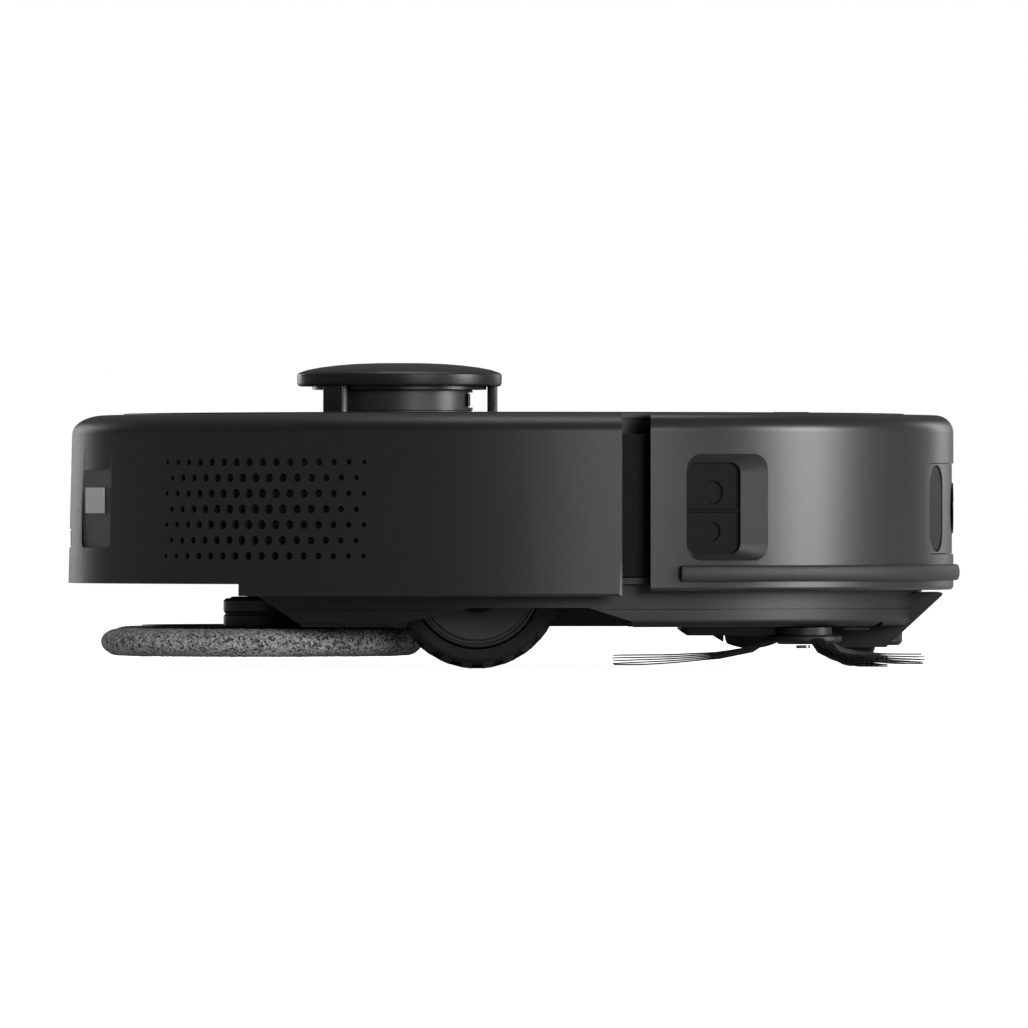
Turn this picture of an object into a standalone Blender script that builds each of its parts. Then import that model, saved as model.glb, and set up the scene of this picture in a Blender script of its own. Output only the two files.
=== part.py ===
"""A round robot vacuum with a lidar turret, a side brush and two spinning mop pads.

Metres, +Z up, +X to the robot's front, +Y to its left. The origin is on the floor, under the middle.
"""

import math

import bmesh
import bpy
from mathutils import Matrix, Vector

# ---- overall sizes ----
BODY_R = 0.1750
WALL = 0.0030
SKIRT_Z = 0.0281
TOP_Z = 0.0984
GAP = 0.0003
SLIDE_GAP = 0.0005

# ---- side wall and top ----
RIM_WIDTH = 0.0210
WALL_DRAFT = 0.0015
CORNER_IN = 0.0130
CORNER_DOWN = 0.0075
WALL_FRONT_X = 0.0414
DECK_T = 0.0025
DECK_RAISE = 0.0006
DECK_R = BODY_R - RIM_WIDTH - SLIDE_GAP
DECK_TOP = TOP_Z + DECK_RAISE
DECK_LOW = DECK_TOP - DECK_T
LIP_DROP = 0.0085
LIP_LOW = DECK_LOW - LIP_DROP
LIP_INSET = 0.0015

# ---- pockets in the wall ----
CONTACT_TURN = math.radians(159.6)
CONTACT_HALF = 0.0105
CONTACT_LOW = 0.0600
CONTACT_HIGH = 0.0700
POCKET_HALF = 0.0170
POCKET_LOW = 0.0466
POCKET_HIGH = 0.0770
REAR_WINDOW_HALF = 0.0190
REAR_WINDOW_HIGH = 0.0539
THIN = 0.0008

# ---- bumper ----
BUMPER_INSET = 0.0025
BUMPER_R = BODY_R - BUMPER_INSET
BUMPER_BACK_X = 0.0524
BUMPER_Z = 0.0301
BUMPER_CORNER = 0.0070
BUMPER_TRAVEL = 0.0035
STRIP_LOW = 0.0338
STRIP_HIGH = 0.0400
STRIP_BACK_X = 0.0640
WINDOW_LOW = 0.0444
WINDOW_HIGH = 0.0795
SIDE_WINDOW_WIDTH = 0.0234
SIDE_WINDOW_TURN = math.radians(63.1)
FRONT_WINDOW_HALF = 0.0640
WINDOW_CORNER = 0.0060
WINDOW_INSET = 0.0006
WINDOW_T = 0.0018
PANE_T = 0.0012
PANE_OVERLAP = 0.0030

# ---- chassis ----
TRAY_T = 0.0025
TRAY_LOW = 0.0327
TRAY_TOP = TRAY_LOW + TRAY_T
UNDER_Z = 0.0162
UNDER_R = BODY_R - 0.0150
UNDER_STEPS = 48
TRAY_FRONT_R = BUMPER_R - WALL - BUMPER_TRAVEL - SLIDE_GAP
TRAY_REAR_R = BODY_R - WALL - SLIDE_GAP
SLOPE_LOW_X = -0.0810
SLOPE_HIGH_X = -0.1060
FRAME_T = 0.0020
FRAME_BACK_X = WALL_FRONT_X - 0.0120
SHAFT_GAP = 0.0005

# ---- lidar turret ----
TURRET_X = -0.0450
CAP_R = 0.04025
CAP_RISE = 0.0108
CAP_EDGE_T = 0.0057
CAP_DOME = 0.0035
CAP_LOW = DECK_TOP + CAP_RISE
CAP_EDGE = CAP_LOW + CAP_EDGE_T
CAP_TOP = CAP_EDGE + CAP_DOME
DRUM_R = 0.0288
DRUM_GAP = 0.0007
POST_TURNS = (0.0, 133.0, -133.0)
POST_R = 0.0385
POST_T = 0.0040
POST_HALF = 0.0055
POST_CORNER = 0.0015
BELT_PULLEY_R = 0.0240
MOTOR_PULLEY_R = 0.0045
BELT_T = 0.0010
BELT_W = 0.0040
BELT_STEPS = 24
LIDAR_MOTOR_X = -0.0880
LIDAR_MOTOR_R = 0.0080

# ---- lid and keys ----
LID_HINGE_X = 0.0075
LID_FRONT_X = 0.0960
LID_HALF = 0.0760
LID_BARREL_R = 0.0022
LID_PIN_R = 0.0010
LID_HINGE_Z = DECK_TOP - LID_BARREL_R - GAP
KEY_X = 0.1085
KEY_Y = 0.0120
KEY_R = 0.0075
KEY_RISE = 0.0007
KEY_TRAVEL = 0.0008
KEY_FLANGE = 0.0015
LID_CORNER = 0.0060
LID_BARREL_INSET = 0.0120
LID_PIN_INSET = 0.0020
LID_PIN_GAP = 0.0002

# ---- drive wheels ----
WHEEL_R = 0.0327
WHEEL_X = -0.0144
WHEEL_Y = 0.1150
WHEEL_W = 0.0220
TYRE_T = 0.0080
TYRE_EDGE = 0.0025
TYRE_STEPS = 48
HUB_R = WHEEL_R - TYRE_T
ARM_PIVOT_X = 0.0300
ARM_PIVOT_Z = 0.0400
ARM_END_R = 0.0110
ARM_T = 0.0095
ARM_PIN_R = 0.0030
ARM_PIN_REACH = 0.0045
ARM_OUT = WHEEL_Y - WHEEL_W / 2 - 0.0030
ARM_IN = ARM_OUT - ARM_T
AXLE_R = 0.0040
AXLE_GAP = 0.0005
WELL_IN = ARM_IN - 0.0010
WELL_OUT = WHEEL_Y + WHEEL_W / 2 + 0.0050
HOUSING_T = 0.0018
HOUSING_LOW_X = WHEEL_X - WHEEL_R - 0.0049
HOUSING_HIGH_X = ARM_PIVOT_X + ARM_END_R + 0.0050
HOUSING_TOP = 2 * WHEEL_R + 0.0050
ARCH_HALF = 0.0300
ARCH_OUT = 0.0320
ARCH_TOP = UNDER_Z + 0.0075
ARCH_SIDE = UNDER_Z + 0.0022

# ---- brushes ----
BRUSH_X = 0.0920
BRUSH_R = 0.0222
BRUSH_FLOOR_GAP = 0.0070
BRUSH_Z = BRUSH_R + BRUSH_FLOOR_GAP
BRUSH_HALF = 0.0700
BRUSH_SLOT = 0.0018
BRUSH_END_GAP = 0.0040
BRUSH_TWIST = math.radians(50.0)
BRUSH_TWIST_STEPS = 6
GUARD_EDGE = 0.0035
GUARD_T = 0.0034
COVER_T = 0.0018
GEARBOX_HALF = 0.0180
GEARBOX_W = 0.0292
GEARBOX_TOP = 0.0660
BRUSH_CORE_R = 0.0080
BRUSH_TUBE_R = 0.0130
VANES = 6
SWEEP_X = 0.1120
SWEEP_Y = -0.0960
SWEEP_HUB_R = 0.0110
SWEEP_HUB_LOW = 0.0092
SWEEP_SHAFT_R = 0.0025
SWEEP_RING_T = 0.0035
SWEEP_ARM_R = 0.0012
SWEEP_MOTOR_R = 0.0130
SWEEP_MOTOR_TOP = 0.0600
SWEEP_REACH = 0.0760
SWEEP_ARMS = 3
SWEEP_TURN = math.radians(-68.0)

# ---- front caster ----
RAMP_BACK_X = BRUSH_X + BRUSH_R + BRUSH_SLOT + 0.0025
CASTER_X = RAMP_BACK_X + 0.0190
CASTER_TRAIL = 0.0050
CASTER_R = 0.0095
CASTER_W = 0.0110
FORK_R = 0.0150
RAMP_HALF = 0.0395
RAMP_LOW = 0.0077
RAMP_TOP = 0.0290
RAMP_TOE = 0.0010
RAMP_LIP = 0.0078
RAMP_TOE_GAP = 0.0023
BAY_GAP = 0.0015
STEM_R = 0.0030
CASTER_AXLE_R = 0.0015
CASTER_EDGE = 0.0010

# ---- mops ----
MOP_X = -0.0980
PAD_R = 0.0645
PAD_APART = 0.0010
MOP_Y = PAD_R + PAD_APART
PAD_LOW = 0.0043
PAD_TOP = UNDER_Z - GAP
PAD_EDGE = 0.0145
PAD_RECESS = 0.0030
PAD_STEPS = 40
PLATE_R = PAD_R - PAD_EDGE
MOP_HUB_R = 0.0150
MOP_HUB_TOP = 0.0270
MOP_SHAFT_R = 0.0040
MOP_SHAFT_LIP = 0.0020
LIFT_HALF = 0.0145
LIFT_END = 0.0130
LIFT_LOW = TRAY_TOP + PAD_LOW + SLIDE_GAP
LIFT_T = 0.0120

# ---- inner units ----
BIN_BACK_X = 0.0070
BIN_HALF = 0.0680
BIN_WALL = 0.0016
BIN_HEAD = 0.0045
BIN_FRONT_GAP = 0.0050
DUCT_HALF = 0.0300
DUCT_LOW = 0.0400
DUCT_HIGH = 0.0500
OUTLET_HALF = 0.0450
OUTLET_HIGH = 0.0820
FILTER_T = 0.0056
FILTER_HALF = 0.0480
FILTER_LOW = 0.0470
FILTER_HIGH = 0.0850
FAN_X = -0.0800
FAN_Y = 0.1080
FAN_R = 0.0200
FAN_WALL = 0.0020
FAN_INLET_R = 0.0080
FAN_TOP = 0.0720
FAN_BLADES = 7
BATTERY_BACK_X = -0.0760
BATTERY_FRONT_X = -0.0120
BATTERY_HALF = 0.0400
BATTERY_TOP = 0.0720
BOARD_LOW = 0.0760
BOARD_T = 0.0016
TANK_BACK_X = -0.1600
TANK_FRONT_X = -0.1160
TANK_HALF = 0.0520
TANK_HEAD = 0.0020
PUMP_R = 0.0120
PUMP_TOP = 0.0600
SPEAKER_X = 0.0700
SPEAKER_Y = 0.1280
SPEAKER_R = 0.0150
SPEAKER_TOP = 0.0500
CLIFF_X = 0.1330
CLIFF_Y = 0.0600
CLIFF_HALF = (0.0050, 0.0070)
CLIFF_DROP = 0.0018

# ---- steps round a circle, and lengths that only pass through ----
TURNED_STEPS = 72
SMALL_STEPS = 24
PIN_STEPS = 16
FAR = 1.0


def new_collection(name):
    """A collection linked to the scene."""
    collection = bpy.data.collections.new(name)
    bpy.context.scene.collection.children.link(collection)
    return collection


def clear_scene():
    """Removes what the scene holds."""
    for old in list(bpy.data.objects):
        bpy.data.objects.remove(old, do_unlink=True)


clear_scene()
PARTS = new_collection("robot_vacuum")
CUTTERS = new_collection("cutters")


def material(name, colour, roughness, metallic=0.0):
    """A Principled material in one plain finish."""
    made = bpy.data.materials.new(name)
    made.use_nodes = True
    shader = made.node_tree.nodes["Principled BSDF"]
    shader.inputs["Base Color"].default_value = (*colour, 1.0)
    shader.inputs["Roughness"].default_value = roughness
    shader.inputs["Metallic"].default_value = metallic
    return made


FINISHES = {
    "charcoal": ((0.030, 0.030, 0.031), 0.50, 0.0),
    "bumper": ((0.075, 0.075, 0.076), 0.38, 0.3),
    "black": ((0.012, 0.012, 0.012), 0.55, 0.0),
    "gloss": ((0.008, 0.008, 0.009), 0.10, 0.0),
    "rubber": ((0.020, 0.020, 0.020), 0.80, 0.0),
    "contact": ((0.600, 0.600, 0.590), 0.30, 1.0),
    "fabric": ((0.180, 0.180, 0.180), 0.95, 0.0),
    "steel": ((0.500, 0.500, 0.500), 0.30, 1.0),
    "board": ((0.020, 0.120, 0.050), 0.50, 0.0),
    "clear": ((0.350, 0.380, 0.400), 0.20, 0.0),
    "filter": ((0.750, 0.750, 0.720), 0.90, 0.0),
}


def finish(part, look, angle=30.0):
    """Shades the part smooth up to an angle and gives it its own material."""
    if part.type == "MESH":
        part.data.shade_smooth()
        part.data.set_sharp_from_angle(angle=math.radians(angle))
    part.data.materials.clear()
    part.data.materials.append(material(part.name, *FINISHES[look]))
    return part


def put(name, mesh):
    """An object of this mesh, in the collection of parts."""
    made = bpy.data.objects.new(name, mesh)
    PARTS.objects.link(made)
    return made


def helper(made):
    """Moves a cutter or a shape to be joined out of the parts."""
    PARTS.objects.unlink(made)
    CUTTERS.objects.link(made)
    made.hide_render = True
    made.display_type = "WIRE"
    return made


def combine(part, other, operation):
    """A Boolean of part with a helper shape."""
    step = part.modifiers.new(operation.lower(), "BOOLEAN")
    step.operation = operation
    step.object = helper(other)
    step.solver = "EXACT"
    return part


def cut(part, *others):
    """Cuts each shape from the part."""
    for other in others:
        combine(part, other, "DIFFERENCE")
    return part


def join(part, *others):
    """Joins each shape to the part."""
    for other in others:
        combine(part, other, "UNION")
    return part


def keep(part, other):
    """Keeps what the part shares with the shape."""
    return combine(part, other, "INTERSECT")


def turned(name, profile, place=(0, 0, 0), lying=False, steps=SMALL_STEPS, ring=False):
    """A profile of (radius, height) points, outer side top to bottom, turned about Z or, lying, about Y."""
    mesh = bpy.data.meshes.new(name)
    points = [(r, 0, z) for r, z in profile]
    edges = [(i, i + 1) for i in range(len(points) - 1)]
    if ring:
        edges.append((len(points) - 1, 0))
    mesh.from_pydata(points, edges, [])
    made = put(name, mesh)
    made.location = place
    if lying:
        made.rotation_euler = (-math.pi / 2, 0, 0)
    screw = made.modifiers.new("turn", "SCREW")
    screw.axis = "Z"
    screw.steps = steps
    screw.render_steps = steps
    screw.use_merge_vertices = True
    screw.merge_threshold = 0.00001
    return made


def rod(name, r, low, high, place=(0, 0, 0), lying=False, steps=SMALL_STEPS):
    """A plain cylinder between two heights."""
    profile = [(0, high), (r, high), (r, low), (0, low)]
    return turned(name, profile, place, lying, steps)


def tube(name, r_out, r_in, low, high, place=(0, 0, 0), lying=False, steps=SMALL_STEPS):
    """A plain ring between two heights."""
    profile = [(r_out, high), (r_out, low), (r_in, low), (r_in, high)]
    return turned(name, profile, place, lying, steps, ring=True)


def box(name, low, high, edge=0.0):
    """A block between two corners, with rounded edges if asked."""
    work = bmesh.new()
    bmesh.ops.create_cube(work, size=1.0)
    size = Vector(high) - Vector(low)
    bmesh.ops.scale(work, vec=size, verts=work.verts)
    bmesh.ops.translate(work, vec=(Vector(high) + Vector(low)) / 2, verts=work.verts)
    mesh = bpy.data.meshes.new(name)
    work.to_mesh(mesh)
    work.free()
    made = put(name, mesh)
    if edge:
        bevel = made.modifiers.new("edge", "BEVEL")
        bevel.width = edge
        bevel.segments = 2
    return made


def meshed(made):
    """A curve object made a welded mesh object of the same name."""
    graph = bpy.context.evaluated_depsgraph_get()
    mesh = bpy.data.meshes.new_from_object(made.evaluated_get(graph))
    work = bmesh.new()
    work.from_mesh(mesh)
    bmesh.ops.remove_doubles(work, verts=work.verts, dist=0.000005)
    bmesh.ops.recalc_face_normals(work, faces=work.faces)
    work.to_mesh(mesh)
    work.free()
    name = made.name
    place = made.matrix_world.copy()
    bpy.data.objects.remove(made, do_unlink=True)
    solid = put(name, mesh)
    solid.matrix_world = place
    return solid


def plate(name, outlines, low, high, upright=False):
    """Flat outlines given a thickness: of (x, y) points along Z or, upright, of (x, z) points along Y."""
    curve = bpy.data.curves.new(name, "CURVE")
    curve.dimensions = "2D"
    curve.fill_mode = "BOTH"
    curve.extrude = (high - low) / 2
    for points in outlines:
        spline = curve.splines.new("POLY")
        spline.points.add(len(points) - 1)
        for point, (u, v) in zip(spline.points, points):
            point.co = (u, v, 0, 1)
        spline.use_cyclic_u = True
    made = put(name, curve)
    middle = (high + low) / 2
    made.location = (0, middle, 0) if upright else (0, 0, middle)
    if upright:
        made.rotation_euler = (math.pi / 2, 0, 0)
    bpy.context.view_layer.update()
    return meshed(made)


def arc(x, y, r, start, end, count):
    """Points along a circle's arc, between two angles in degrees."""
    turns = [math.radians(start + (end - start) * i / count) for i in range(count + 1)]
    return [(x + r * math.cos(t), y + r * math.sin(t)) for t in turns]


def rounded(low, high, r, count=4):
    """A rectangle's outline with round corners."""
    (x0, y0), (x1, y1) = low, high
    points = arc(x1 - r, y1 - r, r, 0, 90, count)
    points += arc(x0 + r, y1 - r, r, 90, 180, count)
    points += arc(x0 + r, y0 + r, r, 180, 270, count)
    points += arc(x1 - r, y0 + r, r, 270, 360, count)
    return points


def stadium(first, second, r_first, r_second, count=10):
    """The outline round two circles, as a belt or an arm has it."""
    dx, dy = second[0] - first[0], second[1] - first[1]
    lean = math.degrees(math.atan2(dy, dx))
    side = math.degrees(math.acos((r_first - r_second) / math.hypot(dx, dy)))
    points = arc(*second, r_second, lean - side, lean + side, count)
    points += arc(*first, r_first, lean + side, lean + 360 - side, count)
    return points


def turn_about_z(made, angle):
    """Turns a shape about the robot's middle."""
    made.matrix_world = Matrix.Rotation(angle, 4, "Z") @ made.matrix_world
    return made


def pivot(name, place, parts):
    """An empty on a joint's axis that carries the parts."""
    empty = bpy.data.objects.new(name, None)
    empty.location = place
    PARTS.objects.link(empty)
    for part in parts:
        if part.parent is None:
            part.parent = empty
            part.matrix_parent_inverse = Matrix.Translation(place).inverted()
    return empty


def shell_profile(r, low, top, corner_in, corner_down, rim, draft):
    """A drafted wall with a soft top corner and a rim that runs inwards, as one closed ring profile."""
    turns = [math.radians(90 * i / 6) for i in range(7)]
    head = r - draft
    outer = [(head - corner_in + corner_in * math.sin(t), top - corner_down + corner_down * math.cos(t))
             for t in turns]
    inner = [(head - WALL, top - corner_down), (head - corner_in, top - WALL), (r - rim, top - WALL)]
    return [(r - rim, top)] + outer + [(r, low), (r - WALL, low)] + inner


def around(turn, out, half_width, low, high, depth, name="pocket"):
    """A block with its outer face at a distance from the middle, turned about Z."""
    made = box(name, (out - depth, -half_width, low), (out, half_width, high))
    return turn_about_z(made, turn)


def flat_floor(half_width, left=THIN):
    """How far from the middle a flat pocket's floor lies, with some wall left behind it."""
    return max(BODY_R - WALL + left, math.sqrt(BODY_R**2 - half_width**2) - WALL / 3)


def side_wall():
    profile = shell_profile(BODY_R, SKIRT_Z, TOP_Z, CORNER_IN, CORNER_DOWN, RIM_WIDTH, WALL_DRAFT)
    wall = turned("side_wall", profile, steps=TURNED_STEPS, ring=True)
    cut(wall, box("front", (WALL_FRONT_X, -FAR, -FAR), (FAR, FAR, FAR)))
    cut(wall, box("step", (-FAR, -FAR, -FAR), (SLOPE_HIGH_X, FAR, TRAY_LOW)))
    floor = flat_floor(POCKET_HALF)
    for side in (1, -1):
        cut(wall, around(side * CONTACT_TURN, floor + 0.02, POCKET_HALF, POCKET_LOW, POCKET_HIGH, 0.02))
    floor = flat_floor(REAR_WINDOW_HALF)
    cut(wall, around(math.pi, floor + 0.02, REAR_WINDOW_HALF, POCKET_LOW, REAR_WINDOW_HIGH, 0.02))
    return finish(wall, "charcoal")


def wall_fittings():
    """The charging contacts and the rear sensor window, each standing in its pocket."""
    made = []
    floor = flat_floor(POCKET_HALF) + GAP
    for side, name in ((-1, "charge_contact_right"), (1, "charge_contact_left")):
        contact = box(name, (floor, -CONTACT_HALF, CONTACT_LOW), (floor + THIN, CONTACT_HALF, CONTACT_HIGH))
        made.append(finish(turn_about_z(contact, side * CONTACT_TURN), "contact"))
    floor = flat_floor(REAR_WINDOW_HALF) + GAP
    low = (floor, SLIDE_GAP - REAR_WINDOW_HALF, POCKET_LOW + SLIDE_GAP)
    high = (floor + THIN / 2, REAR_WINDOW_HALF - SLIDE_GAP, REAR_WINDOW_HIGH - SLIDE_GAP)
    window = turn_about_z(box("rear_window", low, high), math.pi)
    return made + [finish(window, "gloss")]


def top_deck():
    deck = rod("top_deck", DECK_R, DECK_LOW, DECK_TOP, steps=TURNED_STEPS)
    lip_r = DECK_R - LIP_INSET
    join(deck, tube("lip", lip_r, lip_r - DECK_T, LIP_LOW, DECK_LOW + DECK_T / 2, steps=TURNED_STEPS))
    cut(deck, rod("hole", DRUM_R + DRUM_GAP, 0, 2 * TOP_Z, (TURRET_X, 0, 0)))
    back = LID_HINGE_X - (DECK_TOP - LID_HINGE_Z) - SLIDE_GAP
    side = LID_HALF + SLIDE_GAP
    cut(deck, box("mouth", (back, -side, 0), (LID_FRONT_X + SLIDE_GAP, side, FAR)))
    for side in (1, -1):
        cut(deck, rod("hole", KEY_R + SLIDE_GAP, 0, 2 * TOP_Z, (KEY_X, side * KEY_Y, 0)))
    return finish(deck, "charcoal")


def top_lid():
    hinge = (LID_HINGE_X, 0, LID_HINGE_Z)
    outline = rounded((LID_HINGE_X, -LID_HALF), (LID_FRONT_X, LID_HALF), LID_CORNER)
    lid = plate("top_lid", [outline], DECK_LOW, DECK_TOP)
    half = LID_HALF - LID_BARREL_INSET
    join(lid, rod("barrel", LID_BARREL_R, -half, half, hinge, lying=True, steps=PIN_STEPS))
    cut(lid, rod("bore", LID_PIN_R + LID_PIN_GAP, -FAR, FAR, hinge, lying=True, steps=PIN_STEPS))
    half = LID_HALF - LID_PIN_INSET
    pin = rod("lid_hinge_pin", LID_PIN_R, -half, half, hinge, lying=True, steps=PIN_STEPS)
    return finish(lid, "charcoal"), finish(pin, "steel")


def keys():
    made = []
    for side, name in ((1, "power_button"), (-1, "home_button")):
        low = DECK_LOW - KEY_TRAVEL - KEY_FLANGE
        flange = DECK_LOW - GAP
        top = DECK_TOP + KEY_RISE
        profile = [(0, top), (KEY_R - 0.001, top), (KEY_R, DECK_TOP), (KEY_R, flange),
                   (KEY_R + KEY_FLANGE, flange), (KEY_R + KEY_FLANGE, low), (0, low)]
        made.append(finish(turned(name, profile, (KEY_X, side * KEY_Y, 0)), "bumper"))
    return made


def lidar_guard():
    """The fixed cap on its posts."""
    rise = CAP_TOP - CAP_EDGE
    dome = [(0, CAP_TOP), (CAP_R * 0.62, CAP_TOP - 0.06 * rise), (CAP_R * 0.80, CAP_TOP - 0.12 * rise),
            (CAP_R * 0.93, CAP_TOP - 0.45 * rise), (CAP_R, CAP_EDGE), (CAP_R - 0.0008, CAP_LOW + 0.0010),
            (CAP_R - 0.0020, CAP_LOW), (0, CAP_LOW)]
    guard = turned("lidar_guard", dome, (TURRET_X, 0, 0), steps=TURNED_STEPS)
    for turn in POST_TURNS:
        profile = rounded((POST_R - POST_T, -POST_HALF), (POST_R, POST_HALF), POST_CORNER)
        post = plate("post", [profile], DECK_TOP + GAP, CAP_LOW + POST_T / 4)
        place = Matrix.Translation((TURRET_X, 0, 0)) @ Matrix.Rotation(math.radians(turn), 4, "Z")
        post.matrix_world = place @ post.matrix_world
        join(guard, post)
    return finish(guard, "bumper")


def lidar_drive():
    """The turning drum, and the motor, pulley and belt that turn it under the deck."""
    low = DECK_LOW - LIP_DROP
    top = CAP_LOW - 2 * GAP
    profile = [(0, top), (DRUM_R - 0.0010, top), (DRUM_R, top - 0.0010), (DRUM_R, DECK_TOP - SLIDE_GAP),
               (BELT_PULLEY_R, DECK_LOW - GAP), (BELT_PULLEY_R, low), (0, low)]
    drum = turned("lidar_drum", profile, (TURRET_X, 0, 0), steps=TURNED_STEPS // 2)
    belt_low = low + 0.0010
    belt_high = belt_low + BELT_W
    place = (LIDAR_MOTOR_X, 0, 0)
    motor = rod("lidar_motor", LIDAR_MOTOR_R, LIFT_LOW + LIFT_T + BELT_W, belt_low - 0.0020, place)
    pulley = rod("lidar_pulley", MOTOR_PULLEY_R, belt_low - 0.0015, belt_high + 0.0010, place)
    ends = ((TURRET_X, 0), (LIDAR_MOTOR_X, 0))
    inner = stadium(*ends, BELT_PULLEY_R + GAP, MOTOR_PULLEY_R + GAP, BELT_STEPS)
    outer = stadium(*ends, BELT_PULLEY_R + GAP + BELT_T, MOTOR_PULLEY_R + GAP + BELT_T, BELT_STEPS)
    belt = plate("lidar_belt", [outer, inner], belt_low, belt_high)
    looks = ("black", "steel", "steel", "rubber")
    return [finish(part, look) for part, look in zip((drum, motor, pulley, belt), looks)]


def window_cutter(name, turn, half, slack=0.0):
    """A block with round corners through the bumper's wall, facing out at a turn."""
    half += slack
    outline = rounded((-half, WINDOW_LOW - slack), (half, WINDOW_HIGH + slack), WINDOW_CORNER)
    made = plate(name, [outline], -1.2 * BODY_R, -0.8 * BODY_R, upright=True)
    return turn_about_z(made, turn + math.pi / 2)


def bumper():
    """The bumper's shell, its rubber strip and its three sensor windows."""
    rim = BUMPER_R - DECK_R - BUMPER_TRAVEL - SLIDE_GAP
    profile = shell_profile(BUMPER_R, BUMPER_Z, TOP_Z, BUMPER_CORNER, BUMPER_CORNER, rim, 0.0)
    shell = turned("bumper_shell", profile, steps=TURNED_STEPS, ring=True)
    cut(shell, box("back", (-FAR, -FAR, -FAR), (BUMPER_BACK_X, FAR, FAR)))
    for side in (1, -1):
        cut(shell, window_cutter("opening", side * SIDE_WINDOW_TURN, SIDE_WINDOW_WIDTH / 2))
    cut(shell, window_cutter("opening", 0, FRONT_WINDOW_HALF))
    strip = tube("bumper_strip", BODY_R, BUMPER_R + GAP, STRIP_LOW, STRIP_HIGH, steps=TURNED_STEPS)
    cut(strip, box("back", (-FAR, -FAR, -FAR), (STRIP_BACK_X, FAR, FAR)))
    out = BUMPER_R - WINDOW_INSET
    window = tube("front_window", out, out - WINDOW_T, 0, TOP_Z, steps=TURNED_STEPS)
    keep(window, window_cutter("frame", 0, FRONT_WINDOW_HALF, slack=-SLIDE_GAP))
    made = [finish(shell, "bumper"), finish(strip, "rubber"), finish(window, "gloss")]
    half = SIDE_WINDOW_WIDTH / 2 + PANE_OVERLAP
    seat = math.sqrt((BUMPER_R - WALL) ** 2 - half**2) - GAP
    low = (seat - PANE_T, -half, WINDOW_LOW - PANE_OVERLAP)
    high = (seat, half, WINDOW_HIGH + PANE_OVERLAP)
    for side, name in ((-1, "side_window_right"), (1, "side_window_left")):
        pane = box(name, low, high, PANE_T / 3)
        made.append(finish(turn_about_z(pane, side * SIDE_WINDOW_TURN), "gloss"))
    return made


def inner_frame():
    """The upright wall behind the bumper and its slot."""
    out = TRAY_FRONT_R - SLIDE_GAP
    top = TOP_Z - CORNER_DOWN - SLIDE_GAP
    frame = tube("inner_frame", out, out - FRAME_T, TRAY_TOP + GAP, top, steps=TURNED_STEPS)
    cut(frame, box("back", (-FAR, -FAR, -FAR), (FRAME_BACK_X, FAR, FAR)))
    return finish(frame, "black")


def wedge(name, points, half, middle=0.0):
    """An outline of (x, z) points given a width across the robot."""
    return plate(name, [points], middle - half, middle + half, upright=True)


def wheel_wells(tray):
    """Cuts a well for each drive wheel, and the arch in the tray's edge that shows the tyre."""
    low_x, high_x = HOUSING_LOW_X + HOUSING_T, HOUSING_HIGH_X - HOUSING_T
    arch = [(low_x - 0.0020, 0), (WHEEL_X - 0.79 * WHEEL_R, ARCH_SIDE), (WHEEL_X - 0.0021, ARCH_TOP),
            (high_x - 0.0155, ARCH_TOP), (high_x + 0.0010, ARCH_SIDE), (high_x + 0.0060, 0)]
    for side in (1, -1):
        low_y, high_y = sorted((side * WELL_IN, side * WELL_OUT))
        cut(tray, box("well", (low_x, low_y, -FAR), (high_x, high_y, FAR)))
        cut(tray, wedge("arch", arch, ARCH_HALF, side * (WHEEL_Y + ARCH_OUT)))


def chassis_tray():
    """The tray under everything: a thick front part and a thin raised rear part over the mops."""
    lean = math.degrees(math.acos(WALL_FRONT_X / TRAY_REAR_R))
    front = math.degrees(math.acos(WALL_FRONT_X / TRAY_FRONT_R))
    outline = arc(0, 0, TRAY_REAR_R, lean + 1, 359 - lean, 60) + arc(0, 0, TRAY_FRONT_R, -front, front, 30)
    tray = plate("chassis_tray", [outline], TRAY_LOW, TRAY_TOP)
    join(tray, rod("under", UNDER_R, UNDER_Z, TRAY_LOW + TRAY_T / 2, steps=UNDER_STEPS))
    slope = [(-FAR, -FAR), (SLOPE_LOW_X, -FAR), (SLOPE_LOW_X, UNDER_Z), (SLOPE_HIGH_X, TRAY_LOW),
             (-FAR, TRAY_LOW)]
    cut(tray, wedge("slope", slope, FAR))
    wheel_wells(tray)
    for side in (1, -1):
        place = (MOP_X, side * MOP_Y, 0)
        cut(tray, rod("hub_bay", MOP_HUB_R + BAY_GAP, -FAR, TRAY_LOW, place))
        cut(tray, rod("shaft_hole", MOP_SHAFT_R + SHAFT_GAP, -FAR, FAR, place, steps=PIN_STEPS))
    half_x = BRUSH_R + BRUSH_SLOT
    half_y = BRUSH_HALF + BRUSH_END_GAP
    cut(tray, box("slot", (BRUSH_X - half_x, -half_y, -FAR), (BRUSH_X + half_x, half_y, FAR)))
    half_y = RAMP_HALF + GAP
    cut(tray, box("ramp_bay", (RAMP_BACK_X - GAP, -half_y, -FAR), (FAR, half_y, RAMP_TOP + GAP)))
    for r, x, y in ((STEM_R, CASTER_X, 0), (SWEEP_SHAFT_R, SWEEP_X, SWEEP_Y)):
        cut(tray, rod("hole", r + SHAFT_GAP, -FAR, FAR, (x, y, 0), steps=PIN_STEPS))
    return finish(tray, "black")


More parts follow.
